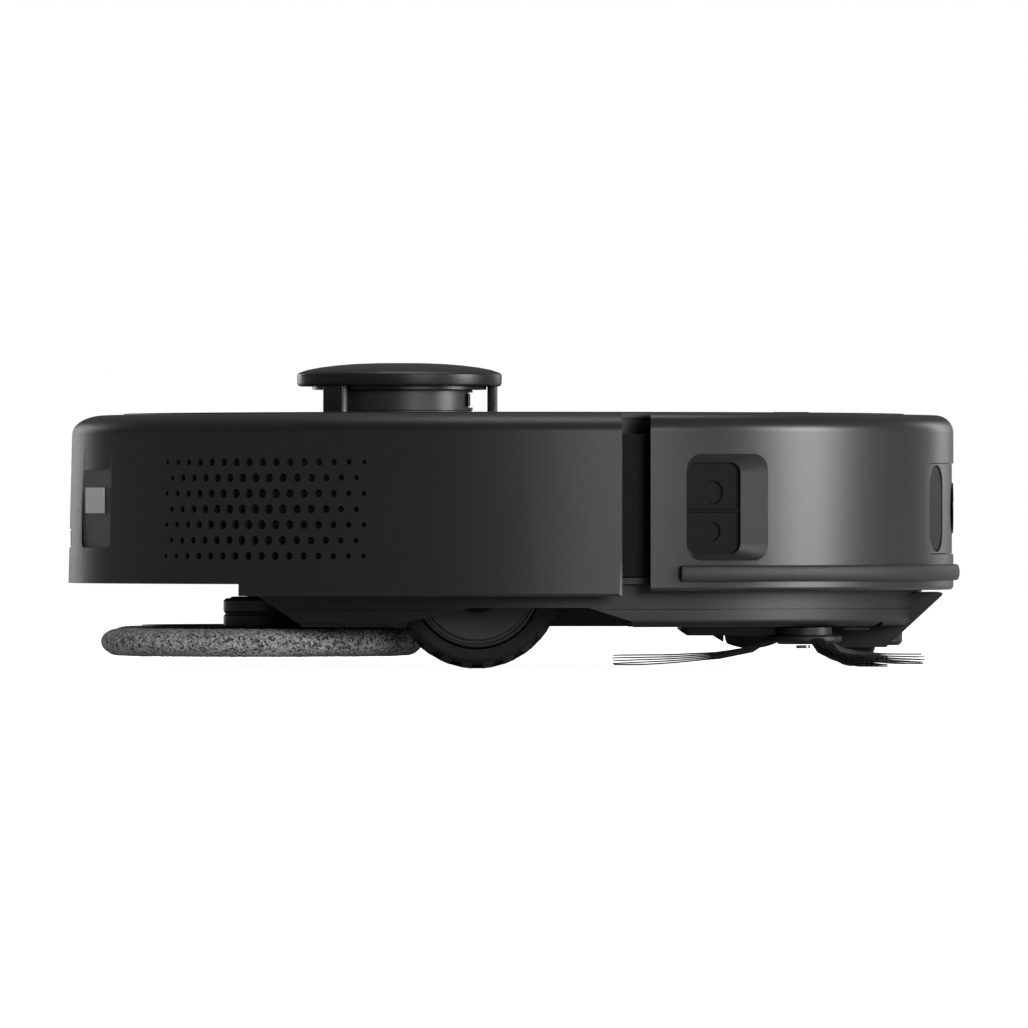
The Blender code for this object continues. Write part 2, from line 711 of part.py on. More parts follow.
def wheel(side, word):
    """One drive wheel: a hub with its short axle, and a tyre round it."""
    tread = WHEEL_W / 2
    centre = (WHEEL_X, side * WHEEL_Y, WHEEL_R)
    end = ARM_IN + 0.0010 - WHEEL_Y
    face = [(0, tread - 0.0040), (0.0080, tread - 0.0040), (0.0110, tread - 0.0015),
            (HUB_R - 0.0020, tread - 0.0010), (HUB_R, tread - 0.0025), (HUB_R, 0.0030 - tread),
            (2 * AXLE_R, 0.0030 - tread),
            (2 * AXLE_R, -tread - 0.0010), (AXLE_R, -tread - 0.0010), (AXLE_R, end), (0, end)]
    hub = turned("wheel_hub_" + word, face, centre, lying=True)
    inner_r = HUB_R + SLIDE_GAP
    ring = [(WHEEL_R - TYRE_EDGE, tread), (WHEEL_R, tread - TYRE_EDGE), (WHEEL_R, TYRE_EDGE - tread),
            (WHEEL_R - TYRE_EDGE, -tread), (inner_r, -tread), (inner_r, tread)]
    tyre = turned("wheel_tyre_" + word, ring, centre, lying=True, steps=TYRE_STEPS, ring=True)
    if side < 0:
        hub.rotation_euler = (math.pi / 2, 0, 0)
        tyre.rotation_euler = (math.pi / 2, 0, 0)
    finish(hub, "bumper")
    finish(tyre, "rubber")
    return pivot("wheel_spin_" + word, centre, [hub, tyre])


def wheel_arm(side, word):
    """The arm that lets a drive wheel rise, with its pin."""
    pin_at = (ARM_PIVOT_X, 0, ARM_PIVOT_Z)
    ends = ((ARM_PIVOT_X, ARM_PIVOT_Z), (WHEEL_X, WHEEL_R))
    low, high = sorted((side * ARM_IN, side * ARM_OUT))
    arm = plate("wheel_arm_" + word, [stadium(*ends, ARM_END_R, ARM_END_R)], low, high, upright=True)
    low, high = sorted((side * (ARM_IN - ARM_PIN_REACH), side * (ARM_IN + 0.0010)))
    join(arm, rod("pin", ARM_PIN_R, low, high, pin_at, lying=True, steps=PIN_STEPS))
    cut(arm, rod("bore", AXLE_R + AXLE_GAP, -FAR, FAR, (WHEEL_X, 0, WHEEL_R), lying=True))
    return finish(arm, "black")


def wheel_housing(side, word):
    """The box over a drive wheel, open below, with a hole for the arm's pin."""
    low, high = sorted((side * (WELL_IN - HOUSING_T), side * (WELL_OUT + HOUSING_T)))
    low_corner = (HOUSING_LOW_X, low, TRAY_TOP + GAP)
    housing = box("wheel_housing_" + word, low_corner, (HOUSING_HIGH_X, high, HOUSING_TOP), HOUSING_T / 2)
    low, high = sorted((side * WELL_IN, side * WELL_OUT))
    low_corner = (HOUSING_LOW_X + HOUSING_T, low, 0)
    cut(housing, box("bay", low_corner, (HOUSING_HIGH_X - HOUSING_T, high, HOUSING_TOP - HOUSING_T)))
    low, high = sorted((side * (WELL_IN - 2 * HOUSING_T), side * (WELL_IN + 0.0010)))
    pin_at = (ARM_PIVOT_X, 0, ARM_PIVOT_Z)
    cut(housing, rod("pin_hole", ARM_PIN_R + SHAFT_GAP, low, high, pin_at, lying=True, steps=PIN_STEPS))
    return finish(housing, "black")


def drive_unit(side, word):
    """One drive wheel with its swing arm and housing."""
    wheel_housing(side, word)
    swing = pivot("wheel_swing_" + word, (ARM_PIVOT_X, side * ARM_IN, ARM_PIVOT_Z), [wheel_arm(side, word)])
    spin = wheel(side, word)
    spin.parent = swing
    spin.matrix_parent_inverse = Matrix.Translation(swing.location).inverted()


def caster_ramp():
    """The front ramp with the round bay that the caster's fork turns in."""
    lip_x = CASTER_X + RAMP_LIP
    toe_x = BUMPER_R - WALL - RAMP_TOE_GAP
    side_view = [(RAMP_BACK_X, RAMP_LOW), (lip_x, RAMP_LOW), (toe_x, RAMP_TOP - RAMP_TOE), (toe_x, RAMP_TOP),
                 (RAMP_BACK_X, RAMP_TOP)]
    ramp = wedge("caster_ramp", side_view, RAMP_HALF)
    cut(ramp, rod("bay", FORK_R + BAY_GAP, -FAR, FAR, (CASTER_X, 0, 0)))
    return finish(ramp, "black")


def caster():
    """The swivelling fork with its axle and small wheel."""
    axle_at = (CASTER_X - CASTER_TRAIL, 0, CASTER_R)
    slot = CASTER_W / 2 + SLIDE_GAP
    low = RAMP_LOW + SLIDE_GAP
    shoulder = RAMP_TOP - SLIDE_GAP
    profile = [(0, TRAY_TOP), (STEM_R, TRAY_TOP), (STEM_R, shoulder), (FORK_R, shoulder), (FORK_R, low),
               (0, low)]
    fork = turned("caster_fork", profile, (CASTER_X, 0, 0))
    front = axle_at[0] + CASTER_R + SLIDE_GAP
    cut(fork, box("slot", (-FAR, -slot, -FAR), (front, slot, 2 * CASTER_R + SLIDE_GAP)))
    cut(fork, rod("bore", CASTER_AXLE_R + GAP, -FAR, FAR, axle_at, lying=True, steps=PIN_STEPS))
    reach = slot + 0.0035
    axle = rod("caster_axle", CASTER_AXLE_R, -reach, reach, axle_at, lying=True, steps=PIN_STEPS)
    half = CASTER_W / 2
    edge = CASTER_EDGE
    bore = CASTER_AXLE_R + SLIDE_GAP
    ring = [(CASTER_R - edge, half), (CASTER_R, half - edge), (CASTER_R, edge - half),
            (CASTER_R - edge, -half), (bore, -half), (bore, half)]
    roller = finish(turned("caster_wheel", ring, axle_at, lying=True, ring=True), "rubber")
    swivel = pivot("caster_swivel", (CASTER_X, 0, 0), [finish(fork, "black"), finish(axle, "steel")])
    spin = pivot("caster_spin", axle_at, [roller])
    spin.parent = swivel
    spin.matrix_parent_inverse = Matrix.Translation(swivel.location).inverted()


def vane_section(work, y):
    """The star-shaped face of the vanes at one end."""
    corners = []
    foot = BRUSH_TUBE_R + 0.0010
    shape = ((BRUSH_TUBE_R, -0.36), (foot, -0.12), (BRUSH_R, -0.045), (BRUSH_R, 0.045), (foot, 0.12),
             (BRUSH_TUBE_R, 0.36))
    for i in range(VANES):
        for r, lean in shape:
            turn = math.tau * i / VANES + lean
            corners.append(work.verts.new((BRUSH_X + r * math.cos(turn), y, BRUSH_Z + r * math.sin(turn))))
    return work.faces.new(corners)


def brush_vanes():
    """The rubber sleeve: vanes that twist one way on each half and meet in the middle."""
    work = bmesh.new()
    face = vane_section(work, 0.0)
    step = (0, BRUSH_HALF / BRUSH_TWIST_STEPS, 0)
    bmesh.ops.spin(work, geom=[face], cent=(BRUSH_X, 0, BRUSH_Z), axis=(0, 1, 0), dvec=step,
                   angle=BRUSH_TWIST, steps=BRUSH_TWIST_STEPS, use_duplicate=False)
    inner = [f for f in work.faces if all(abs(v.co.y) < 1e-6 for v in f.verts)]
    bmesh.ops.delete(work, geom=inner, context="FACES_ONLY")
    bmesh.ops.recalc_face_normals(work, faces=work.faces)
    mesh = bpy.data.meshes.new("brush_vanes")
    work.to_mesh(mesh)
    work.free()
    vanes = put("brush_vanes", mesh)
    mirror = vanes.modifiers.new("other_half", "MIRROR")
    mirror.use_axis = (False, True, False)
    mirror.merge_threshold = 0.00001
    cut(vanes, rod("bore", BRUSH_CORE_R + GAP, -FAR, FAR, (BRUSH_X, 0, BRUSH_Z), lying=True))
    return finish(vanes, "rubber")


def brush_guard():
    """The frame round the brush's slot, which clips on from below."""
    half_x = BRUSH_R + BRUSH_SLOT
    half_y = BRUSH_HALF + BRUSH_END_GAP
    low = (BRUSH_X - half_x + GUARD_EDGE, GUARD_EDGE - half_y)
    inside = rounded(low, (BRUSH_X + half_x - GUARD_EDGE, half_y - GUARD_EDGE), 0.003)
    low = (BRUSH_X - half_x - GUARD_EDGE, -half_y - GUARD_EDGE)
    outside = rounded(low, (RAMP_BACK_X - 2 * GAP, half_y + GUARD_EDGE), 0.005)
    return finish(plate("brush_guard", [outside, inside], UNDER_Z - GAP - GUARD_T, UNDER_Z - GAP), "bumper")


def main_brush():
    """The turning core and vanes, with their guard, cover and gearbox."""
    centre = (BRUSH_X, 0, BRUSH_Z)
    reach = BRUSH_HALF + BRUSH_END_GAP
    core = rod("brush_core", BRUSH_CORE_R, 0.001 - reach, reach - 0.001, centre, lying=True)
    pivot("brush_spin", centre, [finish(core, "bumper"), brush_vanes()])
    brush_guard()
    inner_r = BRUSH_R + BRUSH_SLOT
    cover = tube("brush_cover", inner_r + COVER_T, inner_r, -reach, reach, centre, lying=True)
    keep(cover, box("above", (0, -FAR, TRAY_TOP + GAP), (BRUSH_X + inner_r + 0.001, FAR, FAR)))
    cut(cover, box("duct", (0, -DUCT_HALF, DUCT_LOW), (BRUSH_X - 0.005, DUCT_HALF, DUCT_HIGH)))
    finish(cover, "clear")
    start = reach + SLIDE_GAP + GAP
    low = (BRUSH_X - GEARBOX_HALF, start, TRAY_TOP + GAP)
    gearbox = box("brush_gearbox", low, (BRUSH_X + GEARBOX_HALF, start + GEARBOX_W, GEARBOX_TOP), 0.002)
    finish(gearbox, "black")


def sweep_arms():
    """Three soft arms that curve down from a ring to the floor."""
    r = SWEEP_HUB_R + GAP
    arms = tube("side_brush_arms", r + SWEEP_RING_T, r, 0.0100, 0.0130, (SWEEP_X, SWEEP_Y, 0))
    route = [(r + SWEEP_RING_T / 2, 0.0115), (0.26 * SWEEP_REACH, 0.0066), (0.43 * SWEEP_REACH, 0.0042),
             (0.68 * SWEEP_REACH, 0.0027), (SWEEP_REACH, 0.0016)]
    for i in range(SWEEP_ARMS):
        curve = bpy.data.curves.new("arm", "CURVE")
        curve.dimensions = "3D"
        curve.bevel_depth = SWEEP_ARM_R
        curve.bevel_resolution = 1
        curve.use_fill_caps = True
        spline = curve.splines.new("POLY")
        spline.points.add(len(route) - 1)
        turn = SWEEP_TURN + math.tau * i / SWEEP_ARMS
        for point, (reach, z) in zip(spline.points, route):
            point.co = (SWEEP_X + reach * math.cos(turn), SWEEP_Y + reach * math.sin(turn), z, 1)
            point.radius = 1.0 - 0.35 * reach / SWEEP_REACH
        join(arms, meshed(put("arm", curve)))
    return finish(arms, "rubber")


def side_brush():
    """The side brush's hub, arms and screw, and the motor over them."""
    place = (SWEEP_X, SWEEP_Y, 0)
    low = SWEEP_HUB_LOW
    top = UNDER_Z - GAP
    profile = [(0, TRAY_TOP), (SWEEP_SHAFT_R, TRAY_TOP), (SWEEP_SHAFT_R, top), (SWEEP_HUB_R, top),
               (SWEEP_HUB_R, low + 0.001), (SWEEP_HUB_R - 0.001, low), (0, low)]
    hub = finish(turned("side_brush_hub", profile, place), "black")
    screw = rod("side_brush_screw", SWEEP_HUB_R / 4, low - 0.0015, low - GAP, place, steps=PIN_STEPS)
    pivot("side_brush_spin", place, [hub, sweep_arms(), finish(screw, "steel")])
    finish(rod("side_brush_motor", SWEEP_MOTOR_R, TRAY_TOP + GAP, SWEEP_MOTOR_TOP, place), "steel")


def mop_pad(name, place):
    """A soft disc with a round edge and a shallow seat for its plate."""
    soft = (PAD_TOP - PAD_LOW) / 2
    seat = PAD_TOP - PAD_RECESS
    turns = [math.radians(90 - 180 * i / 6) for i in range(7)]
    edge = [(PAD_R - soft + soft * math.cos(t), PAD_LOW + soft + soft * math.sin(t)) for t in turns]
    profile = [(0, seat), (PLATE_R + GAP, seat), (PLATE_R + GAP, PAD_TOP)] + edge + [(0, PAD_LOW)]
    return finish(turned(name, profile, place, steps=PAD_STEPS), "fabric")


def mops():
    """The lifting frame with a drive hub, a plate and a pad on each side."""
    half = MOP_Y + LIFT_END
    low = (MOP_X - LIFT_HALF, -half, LIFT_LOW)
    frame = box("mop_lift_frame", low, (MOP_X + LIFT_HALF, half, LIFT_LOW + LIFT_T), 0.002)
    lift = pivot("mop_lift", (MOP_X, 0, LIFT_LOW), [frame])
    for side, word in ((1, "left"), (-1, "right")):
        place = (MOP_X, side * MOP_Y, 0)
        top = LIFT_LOW + LIFT_T - MOP_SHAFT_LIP
        cut(frame, rod("bore", MOP_SHAFT_R + SHAFT_GAP, 0, top + GAP, place))
        profile = [(0, top), (MOP_SHAFT_R, top), (MOP_SHAFT_R, MOP_HUB_TOP + MOP_SHAFT_LIP),
                   (MOP_SHAFT_R + 0.0030, MOP_HUB_TOP), (MOP_HUB_R, MOP_HUB_TOP), (MOP_HUB_R, UNDER_Z),
                   (0, UNDER_Z)]
        hub = finish(turned("mop_hub_" + word, profile, place), "black")
        disc = rod("mop_plate_" + word, PLATE_R, PAD_TOP - PAD_RECESS + GAP, PAD_TOP, place, steps=PAD_STEPS)
        pad = mop_pad("mop_pad_" + word, place)
        spin = pivot("mop_spin_" + word, place, [hub, finish(disc, "black"), pad])
        spin.parent = lift
        spin.matrix_parent_inverse = Matrix.Translation(lift.location).inverted()
    finish(frame, "black")


def dust_unit(base):
    """The dust bin with its inlet and outlet, and the filter behind it."""
    low = (BIN_BACK_X, -BIN_HALF, base)
    high = (BRUSH_X - BRUSH_R - BIN_FRONT_GAP, BIN_HALF, DECK_LOW - BIN_HEAD)
    dust_bin = box("dust_bin", low, high, 0.001)
    cut(dust_bin, box("inside", [c + BIN_WALL for c in low], [c - BIN_WALL for c in high]))
    cut(dust_bin, box("mouth", (high[0] - 0.01, -DUCT_HALF, DUCT_LOW), (FAR, DUCT_HALF, DUCT_HIGH)))
    cut(dust_bin, box("outlet", (0, -OUTLET_HALF, DUCT_HIGH), (low[0] + 0.01, OUTLET_HALF, OUTLET_HIGH)))
    finish(dust_bin, "clear")
    back = BIN_BACK_X - SLIDE_GAP - FILTER_T
    low = (back, -FILTER_HALF, FILTER_LOW)
    finish(box("bin_filter", low, (back + FILTER_T, FILTER_HALF, FILTER_HIGH)), "filter")


def fan(base):
    """The suction fan's turned housing and slotted impeller."""
    fan_at = (FAN_X, -FAN_Y, 0)
    inner_r = FAN_R - FAN_WALL
    under = FAN_TOP - FAN_WALL
    profile = [(FAN_R, FAN_TOP), (FAN_R, base), (inner_r, base), (inner_r, under), (FAN_INLET_R, under),
               (FAN_INLET_R, FAN_TOP)]
    finish(turned("fan_housing", profile, fan_at, ring=True), "black")
    tip = inner_r - 0.0020
    top = under - 0.0010
    blade = [(0, top), (FAN_INLET_R - 0.0010, top), (tip, base + 0.0180), (tip, base + 0.0120),
             (FAN_INLET_R / 2, base + 0.0060), (0, base + 0.0060)]
    impeller = turned("fan_impeller", blade, fan_at)
    for i in range(FAN_BLADES):
        slot = box("slot", (FAN_INLET_R - SLIDE_GAP, -0.0012, base + 0.0140), (2 * FAN_R, 0.0012, FAN_TOP))
        slot.matrix_world = Matrix.Translation(fan_at) @ Matrix.Rotation(math.tau * i / FAN_BLADES, 4, "Z")
        cut(impeller, slot)
    pivot("fan_spin", fan_at, [finish(impeller, "steel")])


def inner_units():
    """What stands on the tray inside: dust bin, fan, battery, board, tank, pump and speaker."""
    base = TRAY_TOP + GAP
    dust_unit(base)
    fan(base)
    back, front = BATTERY_BACK_X, BATTERY_FRONT_X
    finish(box("battery", (back, -BATTERY_HALF, base), (front, BATTERY_HALF, BATTERY_TOP), 0.002), "rubber")
    top = BOARD_LOW + BOARD_T
    finish(box("main_board", (back, -BATTERY_HALF, BOARD_LOW), (front, BATTERY_HALF, top)), "board")
    low = (TANK_BACK_X, -TANK_HALF, base)
    finish(box("water_tank", low, (TANK_FRONT_X, TANK_HALF, LIP_LOW - TANK_HEAD), 0.003), "clear")
    finish(rod("water_pump", PUMP_R, base, PUMP_TOP, (FAN_X, FAN_Y, 0)), "black")
    finish(rod("speaker", SPEAKER_R, base, SPEAKER_TOP, (SPEAKER_X, SPEAKER_Y, 0)), "black")
    half_x, half_y = CLIFF_HALF
    for side, word in ((1, "left"), (-1, "right")):
        y = side * CLIFF_Y
        low = (CLIFF_X - half_x, y - half_y, UNDER_Z - CLIFF_DROP)
        high = (CLIFF_X + half_x, y + half_y, UNDER_Z - GAP)
        finish(box("cliff_sensor_" + word, low, high, GAP), "gloss")


def main():
    side_wall()
    wall_fittings()
    top_deck()
    lid, _ = top_lid()
    pivot("lid_hinge", (LID_HINGE_X, 0, LID_HINGE_Z), [lid])
    for key in keys():
        pivot(key.name + "_press", key.location, [key])
    lidar_guard()
    drum, _, pulley, _ = lidar_drive()
    pivot("lidar_spin", (TURRET_X, 0, 0), [drum])
    pivot("pulley_spin", (LIDAR_MOTOR_X, 0, 0), [pulley])
    pivot("bumper_slide", (0, 0, 0), bumper())
    inner_frame()
    chassis_tray()
    drive_unit(1, "left")
    drive_unit(-1, "right")
    caster_ramp()
    caster()
    main_brush()
    side_brush()
    mops()
    inner_units()


main()
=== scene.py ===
# %% [markdown]
# # A robot vacuum with a lidar turret and mop pads
# The engineering model gives every piece its place and its joint. This script gives the pieces
# their final surfaces: casings with soft edges and real holes, treaded tyres, looped mop cloth.

# %% Load the frame
import math
import random

import bmesh
import bpy
from mathutils import Matrix, Vector, noise


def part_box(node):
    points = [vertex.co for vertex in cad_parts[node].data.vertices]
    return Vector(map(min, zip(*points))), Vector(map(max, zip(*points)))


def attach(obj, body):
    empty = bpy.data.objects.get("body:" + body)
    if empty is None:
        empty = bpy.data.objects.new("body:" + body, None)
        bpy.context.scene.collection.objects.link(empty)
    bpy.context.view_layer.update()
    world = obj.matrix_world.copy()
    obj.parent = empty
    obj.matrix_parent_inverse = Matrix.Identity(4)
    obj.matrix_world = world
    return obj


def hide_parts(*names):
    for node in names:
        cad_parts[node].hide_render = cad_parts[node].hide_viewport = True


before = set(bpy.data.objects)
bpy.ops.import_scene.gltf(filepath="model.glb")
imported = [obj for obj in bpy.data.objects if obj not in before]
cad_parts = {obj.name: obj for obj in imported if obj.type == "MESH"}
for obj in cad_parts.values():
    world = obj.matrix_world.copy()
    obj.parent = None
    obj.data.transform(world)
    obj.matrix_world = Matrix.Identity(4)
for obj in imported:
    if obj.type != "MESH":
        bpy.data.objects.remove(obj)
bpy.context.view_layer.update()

# %% [markdown]
# The main places are read from the engineering model's own boxes, so a piece made here lands
# where its plain stand-in lies. `span` gives a node's lowest and highest corner.

# %% Places read from the frame
MM = 0.001


def span(node):
    """Lowest and highest corner of a node at rest."""
    low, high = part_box(node)
    return Vector(low), Vector(high)


WALL_LOW, WALL_HIGH = span("side_wall")
BUMPER_LOW, BUMPER_HIGH = span("bumper_shell")
STRIP_LOW, STRIP_HIGH = span("bumper_strip")
DECK_LOW, DECK_HIGH = span("top_deck")
CAP_LOW, CAP_HIGH = span("lidar_guard")
BODY_R = WALL_HIGH.y
BUMPER_R = BUMPER_HIGH.x
DECK_R = DECK_HIGH.x
TURRET_X = (CAP_LOW.x + CAP_HIGH.x) / 2
WALL = 3 * MM
print("body radius", round(BODY_R, 4), "turret at", round(TURRET_X, 4))

# %% [markdown]
# ## Materials
# Almost everything on this robot is dark plastic, so the eye tells the pieces apart by gloss and
# by the fine texture that the mould was given. One function adds a node with its settings and its
# links, and one turns the sRGB hex values that a designer writes into Blender's linear colour.

# %% Node and colour helpers


def linear(code, alpha=1.0):
    """A hex colour as linear RGBA."""
    channels = [int(code[i:i + 2], 16) / 255 for i in (1, 3, 5)]
    return (*[c / 12.92 if c <= 0.04045 else ((c + 0.055) / 1.055) ** 2.4 for c in channels], alpha)


def add(tree, kind, links=None, **settings):
    """A node of this kind; settings are attributes, or input values given by name or number."""
    node = tree.nodes.new(kind)
    for name, value in settings.items():
        if hasattr(node, name):
            setattr(node, name, value)
        else:
            node.inputs[name.replace("_", " ")].default_value = value
    for name, source in (links or {}).items():
        tree.links.new(source, node.inputs[name])
    return node


def plain_material(name, colour, roughness, metallic=0.0, **extra):
    """A Principled material, with its tree and its shader."""
    made = bpy.data.materials.new(name)
    made.use_nodes = True
    tree = made.node_tree
    shader = tree.nodes["Principled BSDF"]
    values = {"Base Color": linear(colour), "Roughness": roughness, "Metallic": metallic, **extra}
    for socket, value in values.items():
        shader.inputs[socket].default_value = value
    return made, tree, shader


def ramp(tree, source, *stops):
    """A colour ramp from (position, hex) stops."""
    node = add(tree, "ShaderNodeValToRGB", {"Fac": source})
    while len(node.color_ramp.elements) < len(stops):
        node.color_ramp.elements.new(0.5)
    for element, (position, code) in zip(node.color_ramp.elements, stops):
        element.position = position
        element.color = linear(code)
    return node.outputs["Color"]


def grain(tree, size, detail=2.0):
    """Noise whose grains are about this size, in metres."""
    place = add(tree, "ShaderNodeTexCoord").outputs["Object"]
    node = add(tree, "ShaderNodeTexNoise", {"Vector": place}, Scale=0.5 / size, Detail=detail)
    return node.outputs["Fac"]


def bumped(tree, shader, height, distance, strength=1.0):
    """Joins a height to the shader's normal."""
    bump = add(tree, "ShaderNodeBump", {"Height": height}, Distance=distance, Strength=strength)
    tree.links.new(bump.outputs["Normal"], shader.inputs["Normal"])


# %% [markdown]
# ### Moulded and painted plastic
# The casing is ABS moulded in a spark-eroded tool: a fine, even grain that scatters the light and
# keeps the part charcoal grey from every side. The bumper, turret cap and keys have a satin coat
# with a little metal flake, so they carry one broad soft highlight. The grain of the real mould is
# about 0.1 mm; it is drawn at 0.4 mm so that it shows.

# %% Plastics


def moulded_plastic(name, dark, light, roughness, grain_mm, depth_mm, metallic=0.0, spread=0.08):
    """Plastic with a mould grain, a faint drift of tone, and gloss that varies with the grain."""
    made, tree, shader = plain_material(name, dark, roughness, metallic, IOR=1.5)
    fine = grain(tree, grain_mm * MM)
    broad = grain(tree, 40 * MM, 1.0)
    tree.links.new(ramp(tree, broad, (0.35, dark), (0.65, light)), shader.inputs["Base Color"])
    gloss = add(tree, "ShaderNodeMapRange", {"Value": fine}, To_Min=roughness - spread,
                To_Max=roughness + spread)
    tree.links.new(gloss.outputs["Result"], shader.inputs["Roughness"])
    bumped(tree, shader, fine, depth_mm * MM)
    return made


charcoal_abs = moulded_plastic("charcoal_abs", "#262626", "#292929", 0.42, 0.4, 0.010)
satin_coat = moulded_plastic("satin_coat", "#363637", "#3a3a3b", 0.33, 0.5, 0.004, metallic=0.45,
                             spread=0.04)
black_abs = moulded_plastic("black_abs", "#101010", "#131313", 0.48, 0.5, 0.012)
deck_abs = moulded_plastic("deck_abs", "#232323", "#262626", 0.36, 0.4, 0.006)
hub_abs = moulded_plastic("hub_abs", "#3e3e3e", "#424242", 0.40, 0.5, 0.010)
rubber = moulded_plastic("moulded_rubber", "#181818", "#1e1e1e", 0.70, 0.8, 0.030)
bristle_nylon = moulded_plastic("bristle_nylon", "#151515", "#2a2a2a", 0.42, 1.0, 0.004)
strip_rubber = moulded_plastic("strip_rubber", "#242424", "#272727", 0.55, 0.6, 0.010)
sensor_black = moulded_plastic("sensor_black", "#070707", "#0a0a0a", 0.45, 0.5, 0.006)
sensor_black.node_tree.nodes["Principled BSDF"].inputs["Specular IOR Level"].default_value = 0.12
smoke_plastic = moulded_plastic("smoke_polycarbonate", "#4a4d50", "#505356", 0.15, 2.0, 0.004)

# %% [markdown]
# ### Windows, metal, circuit board and paper
# Sensor windows are polished plastic that only infrared passes: nearly black, with a clean
# reflection. Contacts are plated and lightly brushed, so their highlight is drawn out one way.

# %% Windows and metals


def polished_window():
    made, tree, shader = plain_material("polished_window", "#070708", 0.06, IOR=1.52)
    shader.inputs["Coat Weight"].default_value = 0.5
    dust = grain(tree, 6 * MM, 4.0)
    gloss = add(tree, "ShaderNodeMapRange", {"Value": dust}, To_Min=0.05, To_Max=0.12)
    tree.links.new(gloss.outputs["Result"], shader.inputs["Roughness"])
    return made


def brushed_metal(name, colour, roughness, line_mm=0.3):
    """Plated metal with fine lines along one direction."""
    made, tree, shader = plain_material(name, colour, roughness, 1.0)
    place = add(tree, "ShaderNodeTexCoord").outputs["Object"]
    stretch = add(tree, "ShaderNodeMapping", {"Vector": place})
    stretch.inputs["Scale"].default_value = (0.05, 0.05, 1.0)
    lines = add(tree, "ShaderNodeTexNoise", {"Vector": stretch.outputs["Vector"]},
                Scale=0.5 / (line_mm * MM))
    gloss = add(tree, "ShaderNodeMapRange", {"Value": lines.outputs["Fac"]},
                To_Min=roughness - 0.08, To_Max=roughness + 0.12)
    tree.links.new(gloss.outputs["Result"], shader.inputs["Roughness"])
    bumped(tree, shader, lines.outputs["Fac"], 0.004 * MM)
    return made


def circuit_board():
    """Green solder mask over copper tracks, drawn as a grid of lighter bricks."""
    made, tree, shader = plain_material("circuit_board", "#0f3d22", 0.35)
    place = add(tree, "ShaderNodeTexCoord").outputs["Object"]
    tracks = add(tree, "ShaderNodeTexBrick", {"Vector": place}, Scale=180.0, Mortar_Size=0.03)
    tracks.inputs["Color1"].default_value = linear("#0f3d22")
    tracks.inputs["Color2"].default_value = linear("#124a29")
    tracks.inputs["Mortar"].default_value = linear("#2c7a48")
    tree.links.new(tracks.outputs["Color"], shader.inputs["Base Color"])
    return made


def pleated_paper():
    """Off-white filter paper in 3 mm pleats, with painted shade in the pleat valleys and painted light on
    the ridges.
    """
    made, tree, shader = plain_material("pleated_paper", "#d8d6cc", 0.90)
    place = add(tree, "ShaderNodeTexCoord").outputs["Object"]
    pleats = add(tree, "ShaderNodeTexWave", {"Vector": place}, bands_direction="Y",
                 Scale=1 / (20 * 3 * MM) * math.tau)
    bumped(tree, shader, pleats.outputs["Fac"], 0.8 * MM)
    # The colour follows the pleat wave: painted shade in the valleys, painted light on the ridges.
    tree.links.new(ramp(tree, pleats.outputs["Fac"], (0.0, "#b9b7ad"), (1.0, "#e4e2d8")),
                   shader.inputs["Base Color"])
    return made


window_gloss = polished_window()
contact_plate = brushed_metal("contact_plate", "#ecece9", 0.42)
turned_steel = brushed_metal("turned_steel", "#a9a9aa", 0.28)
board_mask = circuit_board()
filter_paper = pleated_paper()

# %% [markdown]
# ### Mop cloth
# The pads are looped microfibre, woven from grey and white threads, which gives the speckled
# look. Each loop is about 0.85 mm across. A cell pattern gives every loop its own tone, and
# a noise inside it breaks the tone into threads. Sheen stands for the fuzz that catches the light.

# %% Mop cloth


def looped_cloth():
    made, tree, shader = plain_material("looped_microfibre", "#6e6e6e", 0.95)
    shader.inputs["Sheen Weight"].default_value = 0.35
    shader.inputs["Sheen Roughness"].default_value = 0.5
    place = add(tree, "ShaderNodeTexCoord").outputs["Object"]
    loops = add(tree, "ShaderNodeTexVoronoi", {"Vector": place}, Scale=1 / (0.85 * MM))
    tone = add(tree, "ShaderNodeSeparateColor", {"Color": loops.outputs["Color"]})
    threads = grain(tree, 0.35 * MM, 3.0)
    mixed = add(tree, "ShaderNodeMath", {0: tone.outputs["Red"], 1: threads}, operation="MULTIPLY_ADD")
    mixed.inputs[2].default_value = 0.10
    colour = ramp(tree, mixed.outputs["Value"], (0.14, "#484848"), (0.26, "#a4a4a4"), (0.42, "#d4d4d4"),
                  (0.60, "#fcfcfc"))
    tree.links.new(colour, shader.inputs["Base Color"])
    height = add(tree, "ShaderNodeMath", {0: loops.outputs["Distance"], 1: threads}, operation="SUBTRACT")
    bumped(tree, shader, height.outputs["Value"], 0.5 * MM, 0.8)
    return made


mop_cloth = looped_cloth()
print("materials:", len(bpy.data.materials))

# %% [markdown]
# ## Shaping tools
# Most shells here are turned: a profile drawn in the XZ plane is spun round an upright axis.
# Plates start as an outline that is filled and extruded. Real openings are carved with Boolean
# cuts, and then the sharp edges are bevelled, because a moulded edge is never perfectly sharp.

# %% Turning, plates and cuts


def loop_of(work, points):
    """A closed line of vertices and edges through the points."""
    verts = [work.verts.new(point) for point in points]
    edges = [work.edges.new((a, b)) for a, b in zip(verts, verts[1:] + verts[:1])]
    return verts, edges


def line_of(work, points):
    """An open line of vertices and edges through the points."""
    verts = [work.verts.new(point) for point in points]
    return verts, [work.edges.new(pair) for pair in zip(verts, verts[1:])]


